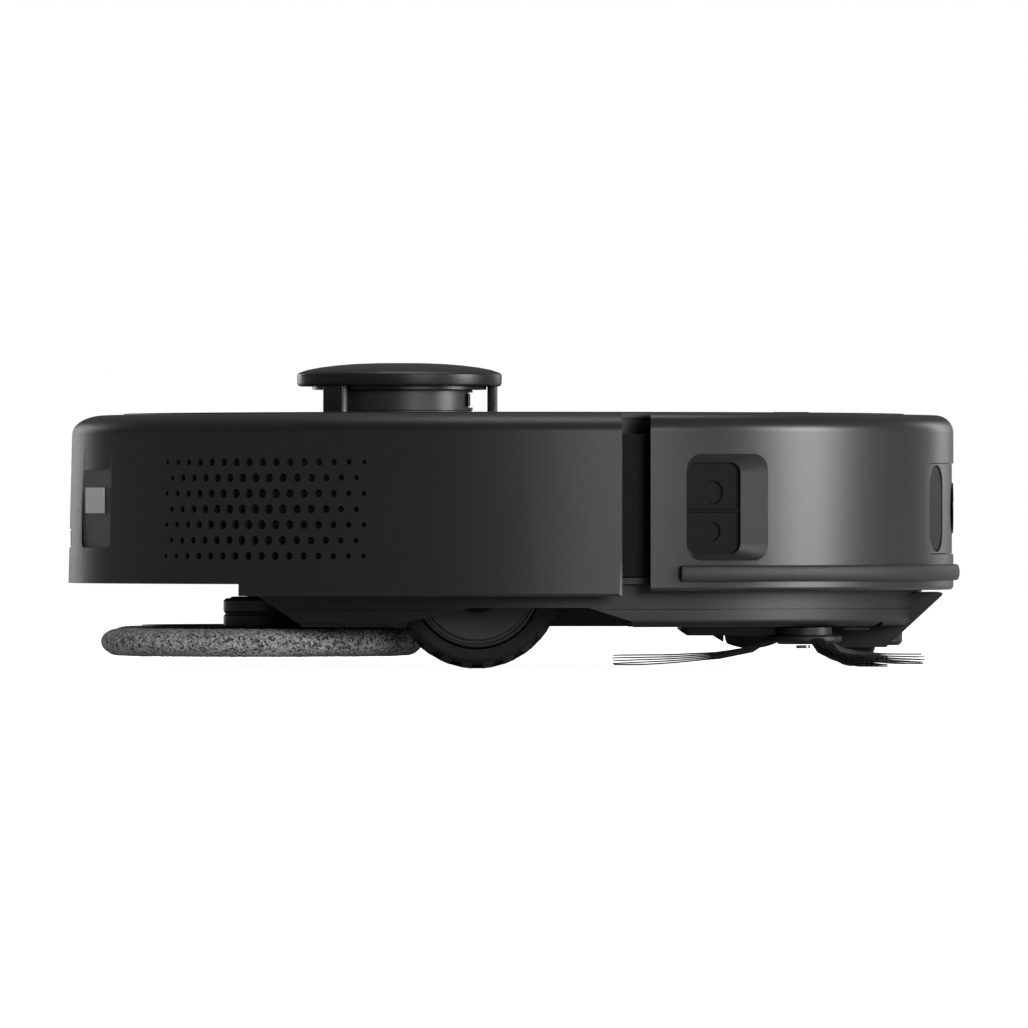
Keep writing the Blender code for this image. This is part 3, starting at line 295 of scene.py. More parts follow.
def turned(profile, closed=True, steps=192, centre=(0, 0, 0), axis=(0, 0, 1)):
    """A profile of (radius, height) points spun round an axis through the centre."""
    work = bmesh.new()
    middle = Vector(centre)
    side = Vector((1, 0, 0))
    points = [middle + side * r + Vector(axis) * h for r, h in profile]
    verts, edges = (loop_of if closed else line_of)(work, points)
    bmesh.ops.spin(work, geom=verts + edges, cent=middle, axis=axis, angle=math.tau, steps=steps,
                   use_merge=True)
    bmesh.ops.remove_doubles(work, verts=work.verts, dist=0.002 * MM)
    bmesh.ops.recalc_face_normals(work, faces=work.faces)
    return work


def slab(points, depth):
    """A flat outline filled and extruded along the depth vector."""
    work = bmesh.new()
    _, edges = loop_of(work, points)
    face = bmesh.ops.contextual_create(work, geom=edges)["faces"]
    raised = bmesh.ops.extrude_face_region(work, geom=face)
    lifted = [g for g in raised["geom"] if isinstance(g, bmesh.types.BMVert)]
    bmesh.ops.translate(work, vec=depth, verts=lifted)
    bmesh.ops.recalc_face_normals(work, faces=work.faces)
    return work


def block(low, high):
    """A box between two corners."""
    work = bmesh.new()
    bmesh.ops.create_cube(work, size=1.0)
    low, high = Vector(low), Vector(high)
    bmesh.ops.scale(work, vec=high - low, verts=work.verts)
    bmesh.ops.translate(work, vec=(high + low) / 2, verts=work.verts)
    return work


def arc(cx, cy, rx, ry, start, end, count):
    """Points on an ellipse's arc, angles in degrees."""
    turns = [math.radians(start + (end - start) * i / count) for i in range(count + 1)]
    return [(cx + rx * math.cos(t), cy + ry * math.sin(t)) for t in turns]


def rounded(half_w, low, high, r, count=6):
    """A rectangle with round corners, as (across, up) points."""
    points = arc(half_w - r, high - r, r, r, 0, 90, count) + arc(r - half_w, high - r, r, r, 90, 180, count)
    return points + arc(r - half_w, low + r, r, r, 180, 270, count) + arc(half_w - r, low + r, r, r, 270,
            360, count)


def solid(name, work):
    """An object of this bmesh, at the origin."""
    mesh = bpy.data.meshes.new(name)
    work.to_mesh(mesh)
    work.free()
    made = bpy.data.objects.new(name, mesh)
    bpy.context.scene.collection.objects.link(made)
    return made


def applied(piece):
    """Makes the piece's modifiers part of its mesh."""
    graph = bpy.context.evaluated_depsgraph_get()
    mesh = bpy.data.meshes.new_from_object(piece.evaluated_get(graph))
    piece.modifiers.clear()
    piece.data = mesh
    return piece


def carve(piece, *cutters, operation="DIFFERENCE"):
    """Cuts each bmesh out of the piece, or joins or keeps what they share."""
    for cutter in cutters:
        helper = solid("cutter", cutter)
        step = piece.modifiers.new("carve", "BOOLEAN")
        step.operation = operation
        step.object = helper
        applied(piece)
        bpy.data.objects.remove(helper, do_unlink=True)
    return piece


def shifted(work, offset):
    bmesh.ops.translate(work, vec=offset, verts=work.verts)
    return work


def round_bar(r, depth, place, segments=32):
    """A round rod or cutter, its middle and its direction given by a matrix."""
    work = bmesh.new()
    bmesh.ops.create_cone(work, cap_ends=True, segments=segments, radius1=r, radius2=r, depth=depth,
                          matrix=place)
    return work


def across_robot(middle):
    """The placing of a bar that lies across the robot."""
    return Matrix.Translation(middle) @ Matrix.Rotation(math.pi / 2, 4, "X")


def turn_about_z(work, angle):
    bmesh.ops.rotate(work, cent=(0, 0, 0), matrix=Matrix.Rotation(angle, 3, "Z"), verts=work.verts)
    return work


def soften(piece, width, segments=3, angle=40.0):
    """Bevels the edges that turn by more than an angle."""
    bevel = piece.modifiers.new("soft_edges", "BEVEL")
    bevel.width = width
    bevel.segments = segments
    bevel.limit_method = "ANGLE"
    bevel.angle_limit = math.radians(angle)
    bevel.use_clamp_overlap = True
    return applied(piece)


def done(piece, finish, body, slot, *nodes, angle=35.0):
    """Shades and paints the piece, attaches it to its body and hides the nodes that it stands for; the slot
    is not used.
    """
    piece.data.shade_smooth()
    piece.data.set_sharp_from_angle(angle=math.radians(angle))
    even = piece.modifiers.new("even_normals", "WEIGHTED_NORMAL")
    even.keep_sharp = True
    even.weight = 60
    applied(piece)
    piece.data.materials.clear()
    piece.data.materials.append(finish)
    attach(piece, body)
    if nodes:
        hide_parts(*nodes)
    print(piece.name, len(piece.data.polygons), "faces")
    return piece


# %% [markdown]
# ## The side wall
# The wall is one C-shaped moulding: nearly upright, with a wide soft corner at the top that runs
# into a flat rim round the deck. Fan air leaves through rows of small holes at the right rear.
# The holes grow towards the middle of the field, so it fades out at its edges.

# %% Side wall profile
RIM_R = DECK_R + 0.5 * MM
WALL_TOP = WALL_HIGH.z
SKIRT_Z = WALL_LOW.z
HEAD_R = BODY_R - 1.5 * MM


def wall_profile():
    """Outer side from the rim down to the skirt, and back up inside."""
    corner = arc(HEAD_R - 13 * MM, WALL_TOP - 7.5 * MM, 13 * MM, 7.5 * MM, 90, 0, 12)
    foot = arc(BODY_R - 1.2 * MM, SKIRT_Z + 1.2 * MM, 1.2 * MM, 1.2 * MM, 0, -90, 4)
    inner = arc(HEAD_R - 13 * MM, WALL_TOP - 7.5 * MM, 13 * MM - WALL, 7.5 * MM - WALL, 0, 90, 8)
    lip = arc(RIM_R + 0.4 * MM, WALL_TOP - 0.4 * MM, 0.4 * MM, 0.4 * MM, 180, 90, 3)
    return lip + corner + foot + [(BODY_R - WALL, SKIRT_Z)] + inner + [(RIM_R, WALL_TOP - WALL)]


# %% Pockets and exhaust holes
CONTACT_LOW, CONTACT_HIGH = span("charge_contact_right")
CONTACT_MIDDLE = (CONTACT_LOW + CONTACT_HIGH) / 2
CONTACT_TURN = math.atan2(CONTACT_MIDDLE.y, CONTACT_MIDDLE.x)
POCKET_FLOOR = CONTACT_MIDDLE.xy.length - 0.7 * MM
POCKET_HALF = 17 * MM
POCKET_LOW, POCKET_HIGH = 46.6 * MM, 77 * MM
REAR_LOW = span("rear_window")[0]


def pocket(turn, floor, half_w, low, high, r):
    """A cutter for a flat-floored pocket with round corners."""
    points = [(floor, y, z) for y, z in rounded(half_w, low, high, r)]
    return turn_about_z(slab(points, (12 * MM, 0, 0)), turn)


HOLE_ROWS = 7
HOLE_LEAST_R = 0.70
HOLE_GROWTH = 1.20
HOLE_PITCH_Z = 6.02 * MM
HOLE_MIDDLE_Z = 61.6 * MM
HOLE_STEP = math.radians(2.07)
HOLE_TURN = math.radians(-124.8)


def exhaust_holes():
    """One bmesh of small round drills, aimed at the axis, largest in the middle of the field."""
    work = bmesh.new()
    for row in range(HOLE_ROWS):
        count = 16 if row % 2 == 0 else 15
        for i in range(count):
            across = i - (count - 1) / 2
            up = row - (HOLE_ROWS - 1) / 2
            fade = max(0.0, 1 - (across / 8.5) ** 2) * max(0.0, 1 - (up / 6.5) ** 2)
            r = (HOLE_LEAST_R + HOLE_GROWTH * fade) * MM
            turn = HOLE_TURN + across * HOLE_STEP
            aim = Matrix.Rotation(turn, 4,
                                  "Z") @ Matrix.Translation((BODY_R, 0, HOLE_MIDDLE_Z + up * HOLE_PITCH_Z))
            drill = aim @ Matrix.Rotation(math.pi / 2, 4, "Y")
            bmesh.ops.create_cone(work, cap_ends=True, segments=12, radius1=r, radius2=r, depth=14 * MM,
                                  matrix=drill)
    return work


wall = solid("side_wall_shell", turned(wall_profile()))
FAR = 1.0
STEP_X = -106 * MM
STEP_Z = 32.7 * MM
carve(wall, block((WALL_HIGH.x, -FAR, -FAR), (FAR, FAR, FAR)))
# The front ends have a narrow flat edge, turned so that it mirrors the front lamp as a bright line.
EDGE_X = WALL_HIGH.x - 1.1 * MM
EDGE_TURN = math.radians(48)
edge_reach = EDGE_X * math.cos(EDGE_TURN) + math.sqrt(BODY_R ** 2 - EDGE_X ** 2) * math.sin(EDGE_TURN)
for side in (1, -1):
    carve(wall, turn_about_z(block((edge_reach, -FAR, -FAR), (FAR, FAR, FAR)), side * EDGE_TURN))
carve(wall, block((-FAR, -FAR, -FAR), (STEP_X, FAR, STEP_Z)))
for turn in (CONTACT_TURN, -CONTACT_TURN):
    carve(wall, pocket(turn, POCKET_FLOOR, POCKET_HALF, POCKET_LOW, POCKET_HIGH, 3 * MM))
carve(wall, pocket(math.pi, -REAR_LOW.x - 0.7 * MM, 19 * MM, POCKET_LOW, 53.9 * MM, 1.5 * MM))
soften(wall, 0.5 * MM)
carve(wall, exhaust_holes())
done(wall, charcoal_abs, "chassis", "charcoal_casing", "side_wall")

# %% [markdown]
# Behind the holes lies a strip of black foam that keeps dust in and light out.

# %% Exhaust foam
foam = solid("exhaust_foam", turned([(BODY_R - WALL - 0.4 * MM, 82 * MM),
                                     (BODY_R - WALL - 0.4 * MM, 41 * MM),
                                     (BODY_R - WALL - 1.4 * MM, 41 * MM),
                                     (BODY_R - WALL - 1.4 * MM, 82 * MM)], steps=120))
carve(foam, turn_about_z(block((0, -52 * MM, 0), (FAR, 52 * MM, FAR)), HOLE_TURN), operation="INTERSECT")
done(foam, rubber, "chassis", "black_plastic")

# %% [markdown]
# ## The bumper
# The bumper wraps the front half and slides back a few millimetres when it touches something. Its
# satin coat carries the one broad highlight of the whole robot, so its surface must be even: it is
# spun in fine steps. Each side has a sensor window in a recess whose front flank is wide, so that
# the sensor also sees forwards. The recess is a cutter bridged from a wide outline to a small one.

# %% Bumper shell
BUMPER_TOP = BUMPER_HIGH.z
BUMPER_Z = BUMPER_LOW.z
BUMPER_BACK_X = BUMPER_LOW.x
WINDOW_LOW, WINDOW_HIGH = 44.4 * MM, 79.5 * MM
PANE_LOW, PANE_HIGH = span("side_window_right")
PANE_MIDDLE = (PANE_LOW + PANE_HIGH) / 2
WINDOW_TURN = math.atan2(PANE_MIDDLE.y, PANE_MIDDLE.x)
WINDOW_HALF = 11.7 * MM
RECESS_HALF = 18.0 * MM
RECESS_LOW, RECESS_HIGH = 41.8 * MM, 82.8 * MM
RECESS_R = 6.2 * MM
RECESS_FORWARD = 4.9 * MM
RECESS_DEPTH = 2.7 * MM
SEAT_DEPTH = 1.2 * MM
FRONT_HIGH = span("front_window")[1]
FRONT_HALF = FRONT_HIGH.y + 0.5 * MM


def bumper_profile():
    lip_in = DECK_R + 4.0 * MM
    corner = arc(BUMPER_R - 7 * MM, BUMPER_TOP - 7 * MM, 7 * MM, 7 * MM, 90, 0, 14)
    foot = arc(BUMPER_R - 1.5 * MM, BUMPER_Z + 1.5 * MM, 1.5 * MM, 1.5 * MM, 0, -90, 10)
    inner = arc(BUMPER_R - 7 * MM, BUMPER_TOP - 7 * MM, 4 * MM, 4 * MM, 0, 90, 10)
    lip = arc(lip_in + 0.5 * MM, BUMPER_TOP - 0.5 * MM, 0.5 * MM, 0.5 * MM, 180, 90, 10)
    return lip + corner + foot + [(BUMPER_R - WALL, BUMPER_Z)] + inner + [(lip_in, BUMPER_TOP - WALL)]


def wrapped(points, r):
    """Flat (across, up) points bent round the robot at a distance from its middle."""
    return [(r * math.cos(y / r), r * math.sin(y / r), z) for y, z in points]


def flared_cutter(turn, side):
    """A window recess: a large outline on the wall's surface bridged to the window's own inside it."""
    work = bmesh.new()
    wide = [(y + RECESS_FORWARD * side, z) for y,
            z in rounded(RECESS_HALF, RECESS_LOW, RECESS_HIGH, RECESS_R, 12)]
    narrow = rounded(WINDOW_HALF, WINDOW_LOW, WINDOW_HIGH, 4.2 * MM, 12)
    places = ((BUMPER_R + 4 * MM, wide), (BUMPER_R + 0.02 * MM, wide), (BUMPER_R - RECESS_DEPTH, narrow),
              (BUMPER_R - 12 * MM, narrow))
    rings = [loop_of(work, wrapped(points, r))[1] for r, points in places]
    for first, second in zip(rings, rings[1:]):
        bmesh.ops.bridge_loops(work, edges=first + second)
    for ring in (rings[0], rings[-1]):
        bmesh.ops.contextual_create(work, geom=ring)
    bmesh.ops.triangulate(work, faces=work.faces)
    bmesh.ops.recalc_face_normals(work, faces=work.faces)
    return turn_about_z(work, turn)


def upright_cutter(half, low, high, r):
    """A block with round corners that faces forwards."""
    return slab([(BUMPER_R * 0.8, y, z) for y, z in rounded(half, low, high, r)], (BUMPER_R * 0.4, 0, 0))


shell = solid("bumper_cover", turned(bumper_profile(), steps=240))
carve(shell, block((-FAR, -FAR, -FAR), (BUMPER_BACK_X, FAR, FAR)))
carve(shell, flared_cutter(WINDOW_TURN, 1), flared_cutter(-WINDOW_TURN, -1))
carve(shell, upright_cutter(FRONT_HALF, 44 * MM, WINDOW_HIGH, 6 * MM))
soften(shell, 0.4 * MM, 2, 10)
done(shell, satin_coat, "bumper", "satin_casing", "bumper_shell")

# %% [markdown]
# The front pane is satin, with two dark upright sensors and a small camera pane. Each side pane
# is a dark plate with two sunk round seats and a rib between them, so that a close look into the
# recess finds a sensor.

# %% Front pane and side sensors
pane = solid("front_pane", turned([(BUMPER_R - 0.6 * MM, 100 * MM), (BUMPER_R - 0.6 * MM, 20 * MM),
                                   (BUMPER_R - 2.4 * MM, 20 * MM), (BUMPER_R - 2.4 * MM, 100 * MM)],
                                   steps=240))
carve(pane, upright_cutter(FRONT_HALF - 0.15 * MM, 44.15 * MM, WINDOW_HIGH - 0.15 * MM, 5.9 * MM),
      operation="INTERSECT")
PILL_TURN = math.radians(16.5)
for turn in (PILL_TURN, -PILL_TURN):
    pill = slab([(BUMPER_R - 1.6 * MM, y, z) for y, z in rounded(9.8 * MM, 44.9 * MM, 78.6 * MM, 9 * MM)],
                (20 * MM, 0, 0))
    carve(pane, turn_about_z(pill, turn))
soften(pane, 0.25 * MM)
done(pane, satin_coat, "bumper", "satin_casing", "front_window")
for turn, name in ((PILL_TURN, "left"), (-PILL_TURN, "right")):
    pill = slab([(BUMPER_R - 2.0 * MM, y, z) for y, z in rounded(9.3 * MM, 45.4 * MM, 78.1 * MM, 8.6 * MM)],
                (0.8 * MM, 0, 0))
    lens = soften(solid("front_sensor_" + name, turn_about_z(pill, turn)), 0.2 * MM, 2)
    done(lens, sensor_black, "bumper", "dark_window")
middle_pane = slab([(BUMPER_R - 0.9 * MM, y, z) for y, z in rounded(17 * MM, 52 * MM, 72 * MM, 9 * MM)],
                   (0.6 * MM, 0, 0))
camera_pane = soften(solid("camera_pane", middle_pane), 0.25 * MM, 2)
done(camera_pane, window_gloss, "bumper", "dark_window")


def side_sensor(name, turn, node):
    """A dark plate with two sunk round lenses and a rib between them."""
    out = PANE_MIDDLE.xy.length + 0.5 * MM
    work = slab([(out - 1.2 * MM, y, z) for y, z in rounded(14.5 * MM, 42 * MM, 82 * MM, 5 * MM)],
                (1.2 * MM, 0, 0))
    turn_about_z(work, turn)
    plate = solid(name, work)
    for z, r in ((53 * MM, 3.4 * MM), (68 * MM, 4.4 * MM)):
        aim = Matrix.Rotation(turn, 4, "Z") @ Matrix.Translation((out, 0, z)) @ Matrix.Rotation(math.pi / 2,
                4, "Y")
        carve(plate, round_bar(r, SEAT_DEPTH, aim, 40))
    rib = block((out - 0.6 * MM, -12 * MM, 60.4 * MM), (out + 0.5 * MM, 12 * MM, 61.4 * MM))
    carve(plate, turn_about_z(rib, turn), operation="UNION")
    soften(plate, 0.2 * MM)
    done(plate, sensor_black, "bumper", "dark_window", node)


side_sensor("side_sensor_right", WINDOW_TURN, "side_window_right")
side_sensor("side_sensor_left", -WINDOW_TURN, "side_window_left")

# %% [markdown]
# A rubber strip runs round the bumper's foot. It is half round outside, so that it rolls along
# furniture, and its ends are rounded off.

# %% Rubber strip
half_strip = (STRIP_HIGH.z - STRIP_LOW.z) / 2
strip_mid = (STRIP_HIGH.z + STRIP_LOW.z) / 2
bulge = arc(BODY_R - 1.2 * MM, strip_mid, 1.2 * MM, half_strip, 90, -90, 10)
strip = solid("bumper_bead", turned([(BUMPER_R + 0.25 * MM, STRIP_HIGH.z)] + bulge + [(BUMPER_R + 0.25 * MM,
        STRIP_LOW.z)], steps=240))
carve(strip, block((-FAR, -FAR, -FAR), (STRIP_LOW.x, FAR, FAR)))
soften(strip, 0.9 * MM, 4, 60)
done(strip, strip_rubber, "bumper", "rubber", "bumper_strip")

# %% [markdown]
# ## The top
# The deck is a thin disc with a stiffening lip below its edge. The turret stands through one hole,
# and a hinged lid covers the dust bin. Two low keys sit in front of the lid.

# %% Deck
LID_LOW, LID_HIGH = span("top_lid")
DECK_TOP = DECK_HIGH.z
DECK_UNDER = DECK_TOP - 2.5 * MM
LIP_LOW = DECK_LOW.z
HINGE_LOW, HINGE_HIGH = span("lid_hinge_pin")
HINGE_X = (HINGE_LOW.x + HINGE_HIGH.x) / 2
HINGE_Z = (HINGE_LOW.z + HINGE_HIGH.z) / 2
KEY_R = 7.5 * MM
BARREL_R = 2.2 * MM
SWING_ROOM = 3 * MM
MOUTH_GAP = 0.5 * MM
KEYS = {}
for key in ("power_button", "home_button"):
    low, high = span(key)
    KEYS[key] = (low + high) / 2


def drill(x, y, r, low=-FAR, high=FAR, segments=96):
    """An upright round cutter."""
    return round_bar(r, high - low, Matrix.Translation((x, y, (low + high) / 2)), segments)


def lid_outline(grow, r):
    """The lid's rounded rectangle as (x, y) points, grown by a margin."""
    middle = (HINGE_X + LID_HIGH.x) / 2
    half = (LID_HIGH.x - HINGE_X) / 2 + grow
    return [(x + middle, y) for x, y in rounded(half, LID_LOW.y - grow, LID_HIGH.y + grow, r)]


deck_profile = ([(0, DECK_TOP)] + arc(DECK_R - 0.8 * MM, DECK_TOP - 0.8 * MM, 0.8 * MM, 0.8 * MM, 90, 0, 4)
                + [(DECK_R, DECK_UNDER), (DECK_R - 1.5 * MM, DECK_UNDER), (DECK_R - 1.5 * MM, LIP_LOW),
                   (DECK_R - 4 * MM, LIP_LOW), (DECK_R - 4 * MM, DECK_UNDER), (0, DECK_UNDER)])
deck = solid("top_plate", turned(deck_profile, closed=False))
carve(deck, drill(TURRET_X, 0, 29.5 * MM))
mouth = [(x, y, DECK_UNDER - 5 * MM) for x, y in lid_outline(MOUTH_GAP, 6 * MM)]
carve(deck, slab(mouth, (0, 0, 20 * MM)))
carve(deck, block((HINGE_X - SWING_ROOM, LID_LOW.y - MOUTH_GAP, DECK_UNDER - 5 * MM),
                  (HINGE_X + 8 * MM, LID_HIGH.y + MOUTH_GAP, FAR)))
for middle in KEYS.values():
    carve(deck, drill(middle.x, middle.y, KEY_R + 0.5 * MM))
soften(deck, 0.4 * MM)
done(deck, deck_abs, "chassis", "charcoal_casing", "top_deck")

# %% Lid with its barrel and a finger notch
lid = solid("bin_lid", slab([(x, y, DECK_UNDER) for x, y in lid_outline(0, 5.5 * MM)], (0, 0, 2.5 * MM)))
barrel_half = LID_HIGH.y - 12 * MM
barrel = round_bar(BARREL_R, 2 * barrel_half, across_robot((HINGE_X, 0, HINGE_Z)))
carve(lid, barrel, operation="UNION")
notch = bmesh.new()
bmesh.ops.create_uvsphere(notch, u_segments=64, v_segments=32, radius=14 * MM,
                          matrix=Matrix.Translation((LID_HIGH.x + 2 * MM, 0, DECK_TOP + 12.6 * MM)))
carve(lid, notch)
soften(lid, 0.45 * MM)
done(lid, deck_abs, "lid", "charcoal_casing", "top_lid")

# %% Keys with dished tops
for key, middle in KEYS.items():
    low, high = span(key)
    rim = arc(KEY_R - 0.6 * MM, high.z - 0.6 * MM, 0.6 * MM, 0.6 * MM, 90, 0, 5)
    dish = [(0, high.z - 0.5 * MM), (3 * MM, high.z - 0.42 * MM), (5.5 * MM, high.z - 0.1 * MM)]
    profile = dish + rim + [(KEY_R, DECK_UNDER - 0.5 * MM), (KEY_R + 1.5 * MM, DECK_UNDER - 0.5 * MM),
                            (KEY_R + 1.5 * MM, low.z), (0, low.z)]
    cap = solid(key.replace("_button", "_key"),
                turned(profile, closed=False, steps=64, centre=(middle.x, middle.y, 0)))
    done(cap, satin_coat, key.replace("_button", "_key"), "satin_casing", key)

# %% [markdown]
# ## The lidar turret
# The laser looks out between three posts, over the whole circle. A domed cap on those posts
# guards the drum that turns inside. The drum has a dark window on one side for the laser.

# %% Cap and posts
CAP_R = (CAP_HIGH.x - CAP_LOW.x) / 2
CAP_UNDER = 109.8 * MM
drops = ((0, 0), (10, 0.1), (18, 0.4), (25, 1.0), (31, 1.75), (36, 2.7), (39, 3.7))
dome = [(r * MM, CAP_HIGH.z - down * MM) for r, down in drops]
brow = arc(CAP_R - 0.8 * MM, CAP_HIGH.z - 5.0 * MM, 0.8 * MM, 0.9 * MM, 50, 0, 4)
under = [(CAP_R - 0.1 * MM, CAP_UNDER + 1.0 * MM), (CAP_R - 0.5 * MM, CAP_UNDER + 0.3 * MM),
         (CAP_R - 1.2 * MM, CAP_UNDER),
         (0, CAP_UNDER)]
cap = solid("turret_cap", turned(dome + brow + under, closed=False, centre=(TURRET_X, 0, 0)))
carve(cap, turned([(30.2 * MM, CAP_UNDER + 0.5 * MM), (30.2 * MM, CAP_UNDER - 1.3 * MM),
                   (34.2 * MM, CAP_UNDER - 1.3 * MM),
                   (34.2 * MM, CAP_UNDER + 0.5 * MM)], centre=(TURRET_X, 0, 0)), operation="UNION")
for turn in (0, 133, -133):
    post = slab([(x + 36.5 * MM, y, DECK_TOP + 0.3 * MM) for x,
                 y in rounded(2 * MM, -5.5 * MM, 5.5 * MM, 1.4 * MM)],
                (0, 0, CAP_UNDER + 1 * MM - DECK_TOP))
    turn_about_z(post, math.radians(turn))
    carve(cap, shifted(post, (TURRET_X, 0, 0)), operation="UNION")
soften(cap, 0.4 * MM, 2)
done(cap, satin_coat, "chassis", "satin_casing", "lidar_guard")

# %% Drum with its window
DRUM_LOW, DRUM_HIGH = span("lidar_drum")
DRUM_R = DRUM_HIGH.y
shoulder = arc(DRUM_R - 1.5 * MM, DRUM_HIGH.z - 1.5 * MM, 1.5 * MM, 1.5 * MM, 90, 0, 6)
drum = solid("turret_drum", turned([(0, DRUM_HIGH.z)] + shoulder + [
    (DRUM_R, DECK_TOP + 1.4 * MM), (DRUM_R - 0.5 * MM, DECK_TOP + 1.1 * MM),
    (DRUM_R - 0.5 * MM, DECK_TOP - 0.6 * MM),
    (24 * MM, DECK_UNDER - 0.3 * MM), (24 * MM, DRUM_LOW.z), (0, DRUM_LOW.z)], closed=False,
    centre=(TURRET_X, 0, 0)))
slot = block((TURRET_X + DRUM_R - 1.6 * MM, -14 * MM, DECK_TOP + 2.5 * MM),
             (TURRET_X + DRUM_R + 5 * MM, 14 * MM, DRUM_HIGH.z - 1.8 * MM))
carve(drum, slot)
soften(drum, 0.3 * MM, 2)
done(drum, hub_abs, "drum", "black_plastic", "lidar_drum")
lens = solid("laser_window", block((TURRET_X + DRUM_R - 1.5 * MM, -13.4 * MM, DECK_TOP + 3 * MM),
                                   (TURRET_X + DRUM_R - 1.0 * MM, 13.4 * MM, DRUM_HIGH.z - 2.3 * MM)))
soften(lens, 0.1 * MM, 2)
done(lens, window_gloss, "drum", "dark_window")

# %% [markdown]
# ## The underbody
# The tray is turned from one profile and then cut: wheel arches, the brush slot, the ramp's bay
# and the slope over the mops. Its rounded skirt carries a seam, where the bottom plate screws on.

# %% Bottom tray
TRAY_TOP = 35.2 * MM
UNDER_Z = 16.2 * MM
UNDER_R = BODY_R - 15 * MM
GUARD_LOW, GUARD_HIGH = span("brush_guard")
RAMP_LOW, RAMP_HIGH = span("caster_ramp")
VANE_LOW, VANE_HIGH = span("brush_vanes")
TYRE_LOW, TYRE_HIGH = span("wheel_tyre_right")
HUB_LOW, HUB_HIGH = span("mop_hub_right")
SWEEP_LOW, SWEEP_HIGH = span("side_brush_hub")
WHEEL_R = (TYRE_HIGH.z - TYRE_LOW.z) / 2
WHEEL_X = (TYRE_LOW.x + TYRE_HIGH.x) / 2
WHEEL_Y = -(TYRE_LOW.y + TYRE_HIGH.y) / 2
MOP_X = (HUB_LOW.x + HUB_HIGH.x) / 2
MOP_Y = -(HUB_LOW.y + HUB_HIGH.y) / 2
SWEEP_X = (SWEEP_LOW.x + SWEEP_HIGH.x) / 2
SWEEP_Y = (SWEEP_LOW.y + SWEEP_HIGH.y) / 2


def extruded(points, half, middle=0.0):
    """An outline of (x, z) points given a width across the robot."""
    return slab([(x, middle - half, z) for x, z in points], (0, 2 * half, 0))


skirt = arc(UNDER_R - 3 * MM, UNDER_Z + 3 * MM, 3 * MM, 3 * MM, -90, 0, 8)
seam = [(UNDER_R, 22.6 * MM), (UNDER_R - 0.7 * MM, 22.6 * MM), (UNDER_R - 0.7 * MM, 23.2 * MM),
        (UNDER_R + 0.1 * MM, 23.2 * MM)]
tray = solid("bottom_tray", turned([(0, UNDER_Z)] + skirt + seam + [(UNDER_R + 0.1 * MM, 32.8 * MM),
        (164.4 * MM, 32.8 * MM),
                                                                  (164.4 * MM, TRAY_TOP), (0, TRAY_TOP)],
                                                                  closed=False))
rear_tray = turned([(0, 32.8 * MM), (BODY_R - WALL - 0.8 * MM, 32.8 * MM),
                    (BODY_R - WALL - 0.8 * MM, TRAY_TOP), (0, TRAY_TOP)], closed=False)
rear_piece = carve(solid("rear_tray", rear_tray), block((41 * MM, -FAR, -FAR), (FAR, FAR, FAR)))
join = tray.modifiers.new("join", "BOOLEAN")
join.operation = "UNION"
join.object = rear_piece
applied(tray)
bpy.data.objects.remove(rear_piece, do_unlink=True)
carve(tray, extruded([(-FAR, -FAR), (-81 * MM, -FAR), (-81 * MM, UNDER_Z), (STEP_X, STEP_Z),
                      (-FAR, STEP_Z)], FAR))
WELL = (-50.2 * MM, 44.2 * MM)
for side in (1, -1):
    low_y, high_y = sorted((side * 90.5 * MM, side * 131 * MM))
    carve(tray, block((WELL[0], low_y, -FAR), (WELL[1], high_y, FAR)))
    arch = [(-52.2 * MM, 0), (-40.3 * MM, 18.4 * MM), (-16.5 * MM, 23.7 * MM), (28.7 * MM, 23.7 * MM),
            (45.2 * MM, 18.4 * MM), (50.2 * MM, 0)]
    carve(tray, extruded(arch, 30 * MM, side * (WHEEL_Y + 32 * MM)))
    carve(tray, drill(MOP_X, side * MOP_Y, 16.5 * MM, -FAR, STEP_Z))
    carve(tray, drill(MOP_X, side * MOP_Y, 4.5 * MM))
carve(tray, block((VANE_LOW.x - 1.8 * MM, -74 * MM, -FAR), (VANE_HIGH.x + 1.8 * MM, 74 * MM, FAR)))
carve(tray, block((RAMP_LOW.x - 0.3 * MM, RAMP_LOW.y - 0.3 * MM, -FAR),
                  (FAR, RAMP_HIGH.y + 0.3 * MM, RAMP_HIGH.z + 0.3 * MM)))
carve(tray, drill(137.5 * MM, 0, 3.5 * MM), drill(SWEEP_X, SWEEP_Y, 3 * MM))
for x, y in ((-62, -60), (-62, 60), (20, -70), (20, 70), (60, -100), (60, 100), (140, -70), (140, 70),
             (-62, 0), (40, 0)):
    carve(tray, drill(x * MM, y * MM, 3.2 * MM, UNDER_Z - 1 * MM, UNDER_Z + 1.6 * MM, 32))
soften(tray, 0.5 * MM, 2)
done(tray, black_abs, "chassis", "black_plastic", "chassis_tray")

# %% Frame behind the bumper
frame_top = TRAY_TOP + 0.3 * MM
wall_back = solid("bumper_backing", turned([(165 * MM, 90.4 * MM), (165 * MM, frame_top),
                                            (163 * MM, frame_top), (163 * MM, 90.4 * MM)], steps=192))
carve(wall_back, block((-FAR, -FAR, -FAR), (29.4 * MM, FAR, FAR)))
soften(wall_back, 0.3 * MM, 2)
done(wall_back, sensor_black, "chassis", "black_plastic", "inner_frame")

# %% [markdown]
# ## Drive wheels
# The tyre is rubber with two rows of 24 slanted tread bars and a groove between them. The disc face is
# moulded plastic with a raised rim and a stepped centre, and it carries the soft highlight below
# the side wall.

# %% Tyre and disc


def lying_turned(profile, centre, side, steps=144, closed=True):
    """A profile of (radius, out) points spun round the wheel's axis, out being away from the robot."""
    work = turned(profile, closed=closed, steps=steps)
    bmesh.ops.rotate(work, cent=(0, 0, 0), matrix=Matrix.Rotation(-side * math.pi / 2, 3, "X"),
                     verts=work.verts)
    return shifted(work, centre)


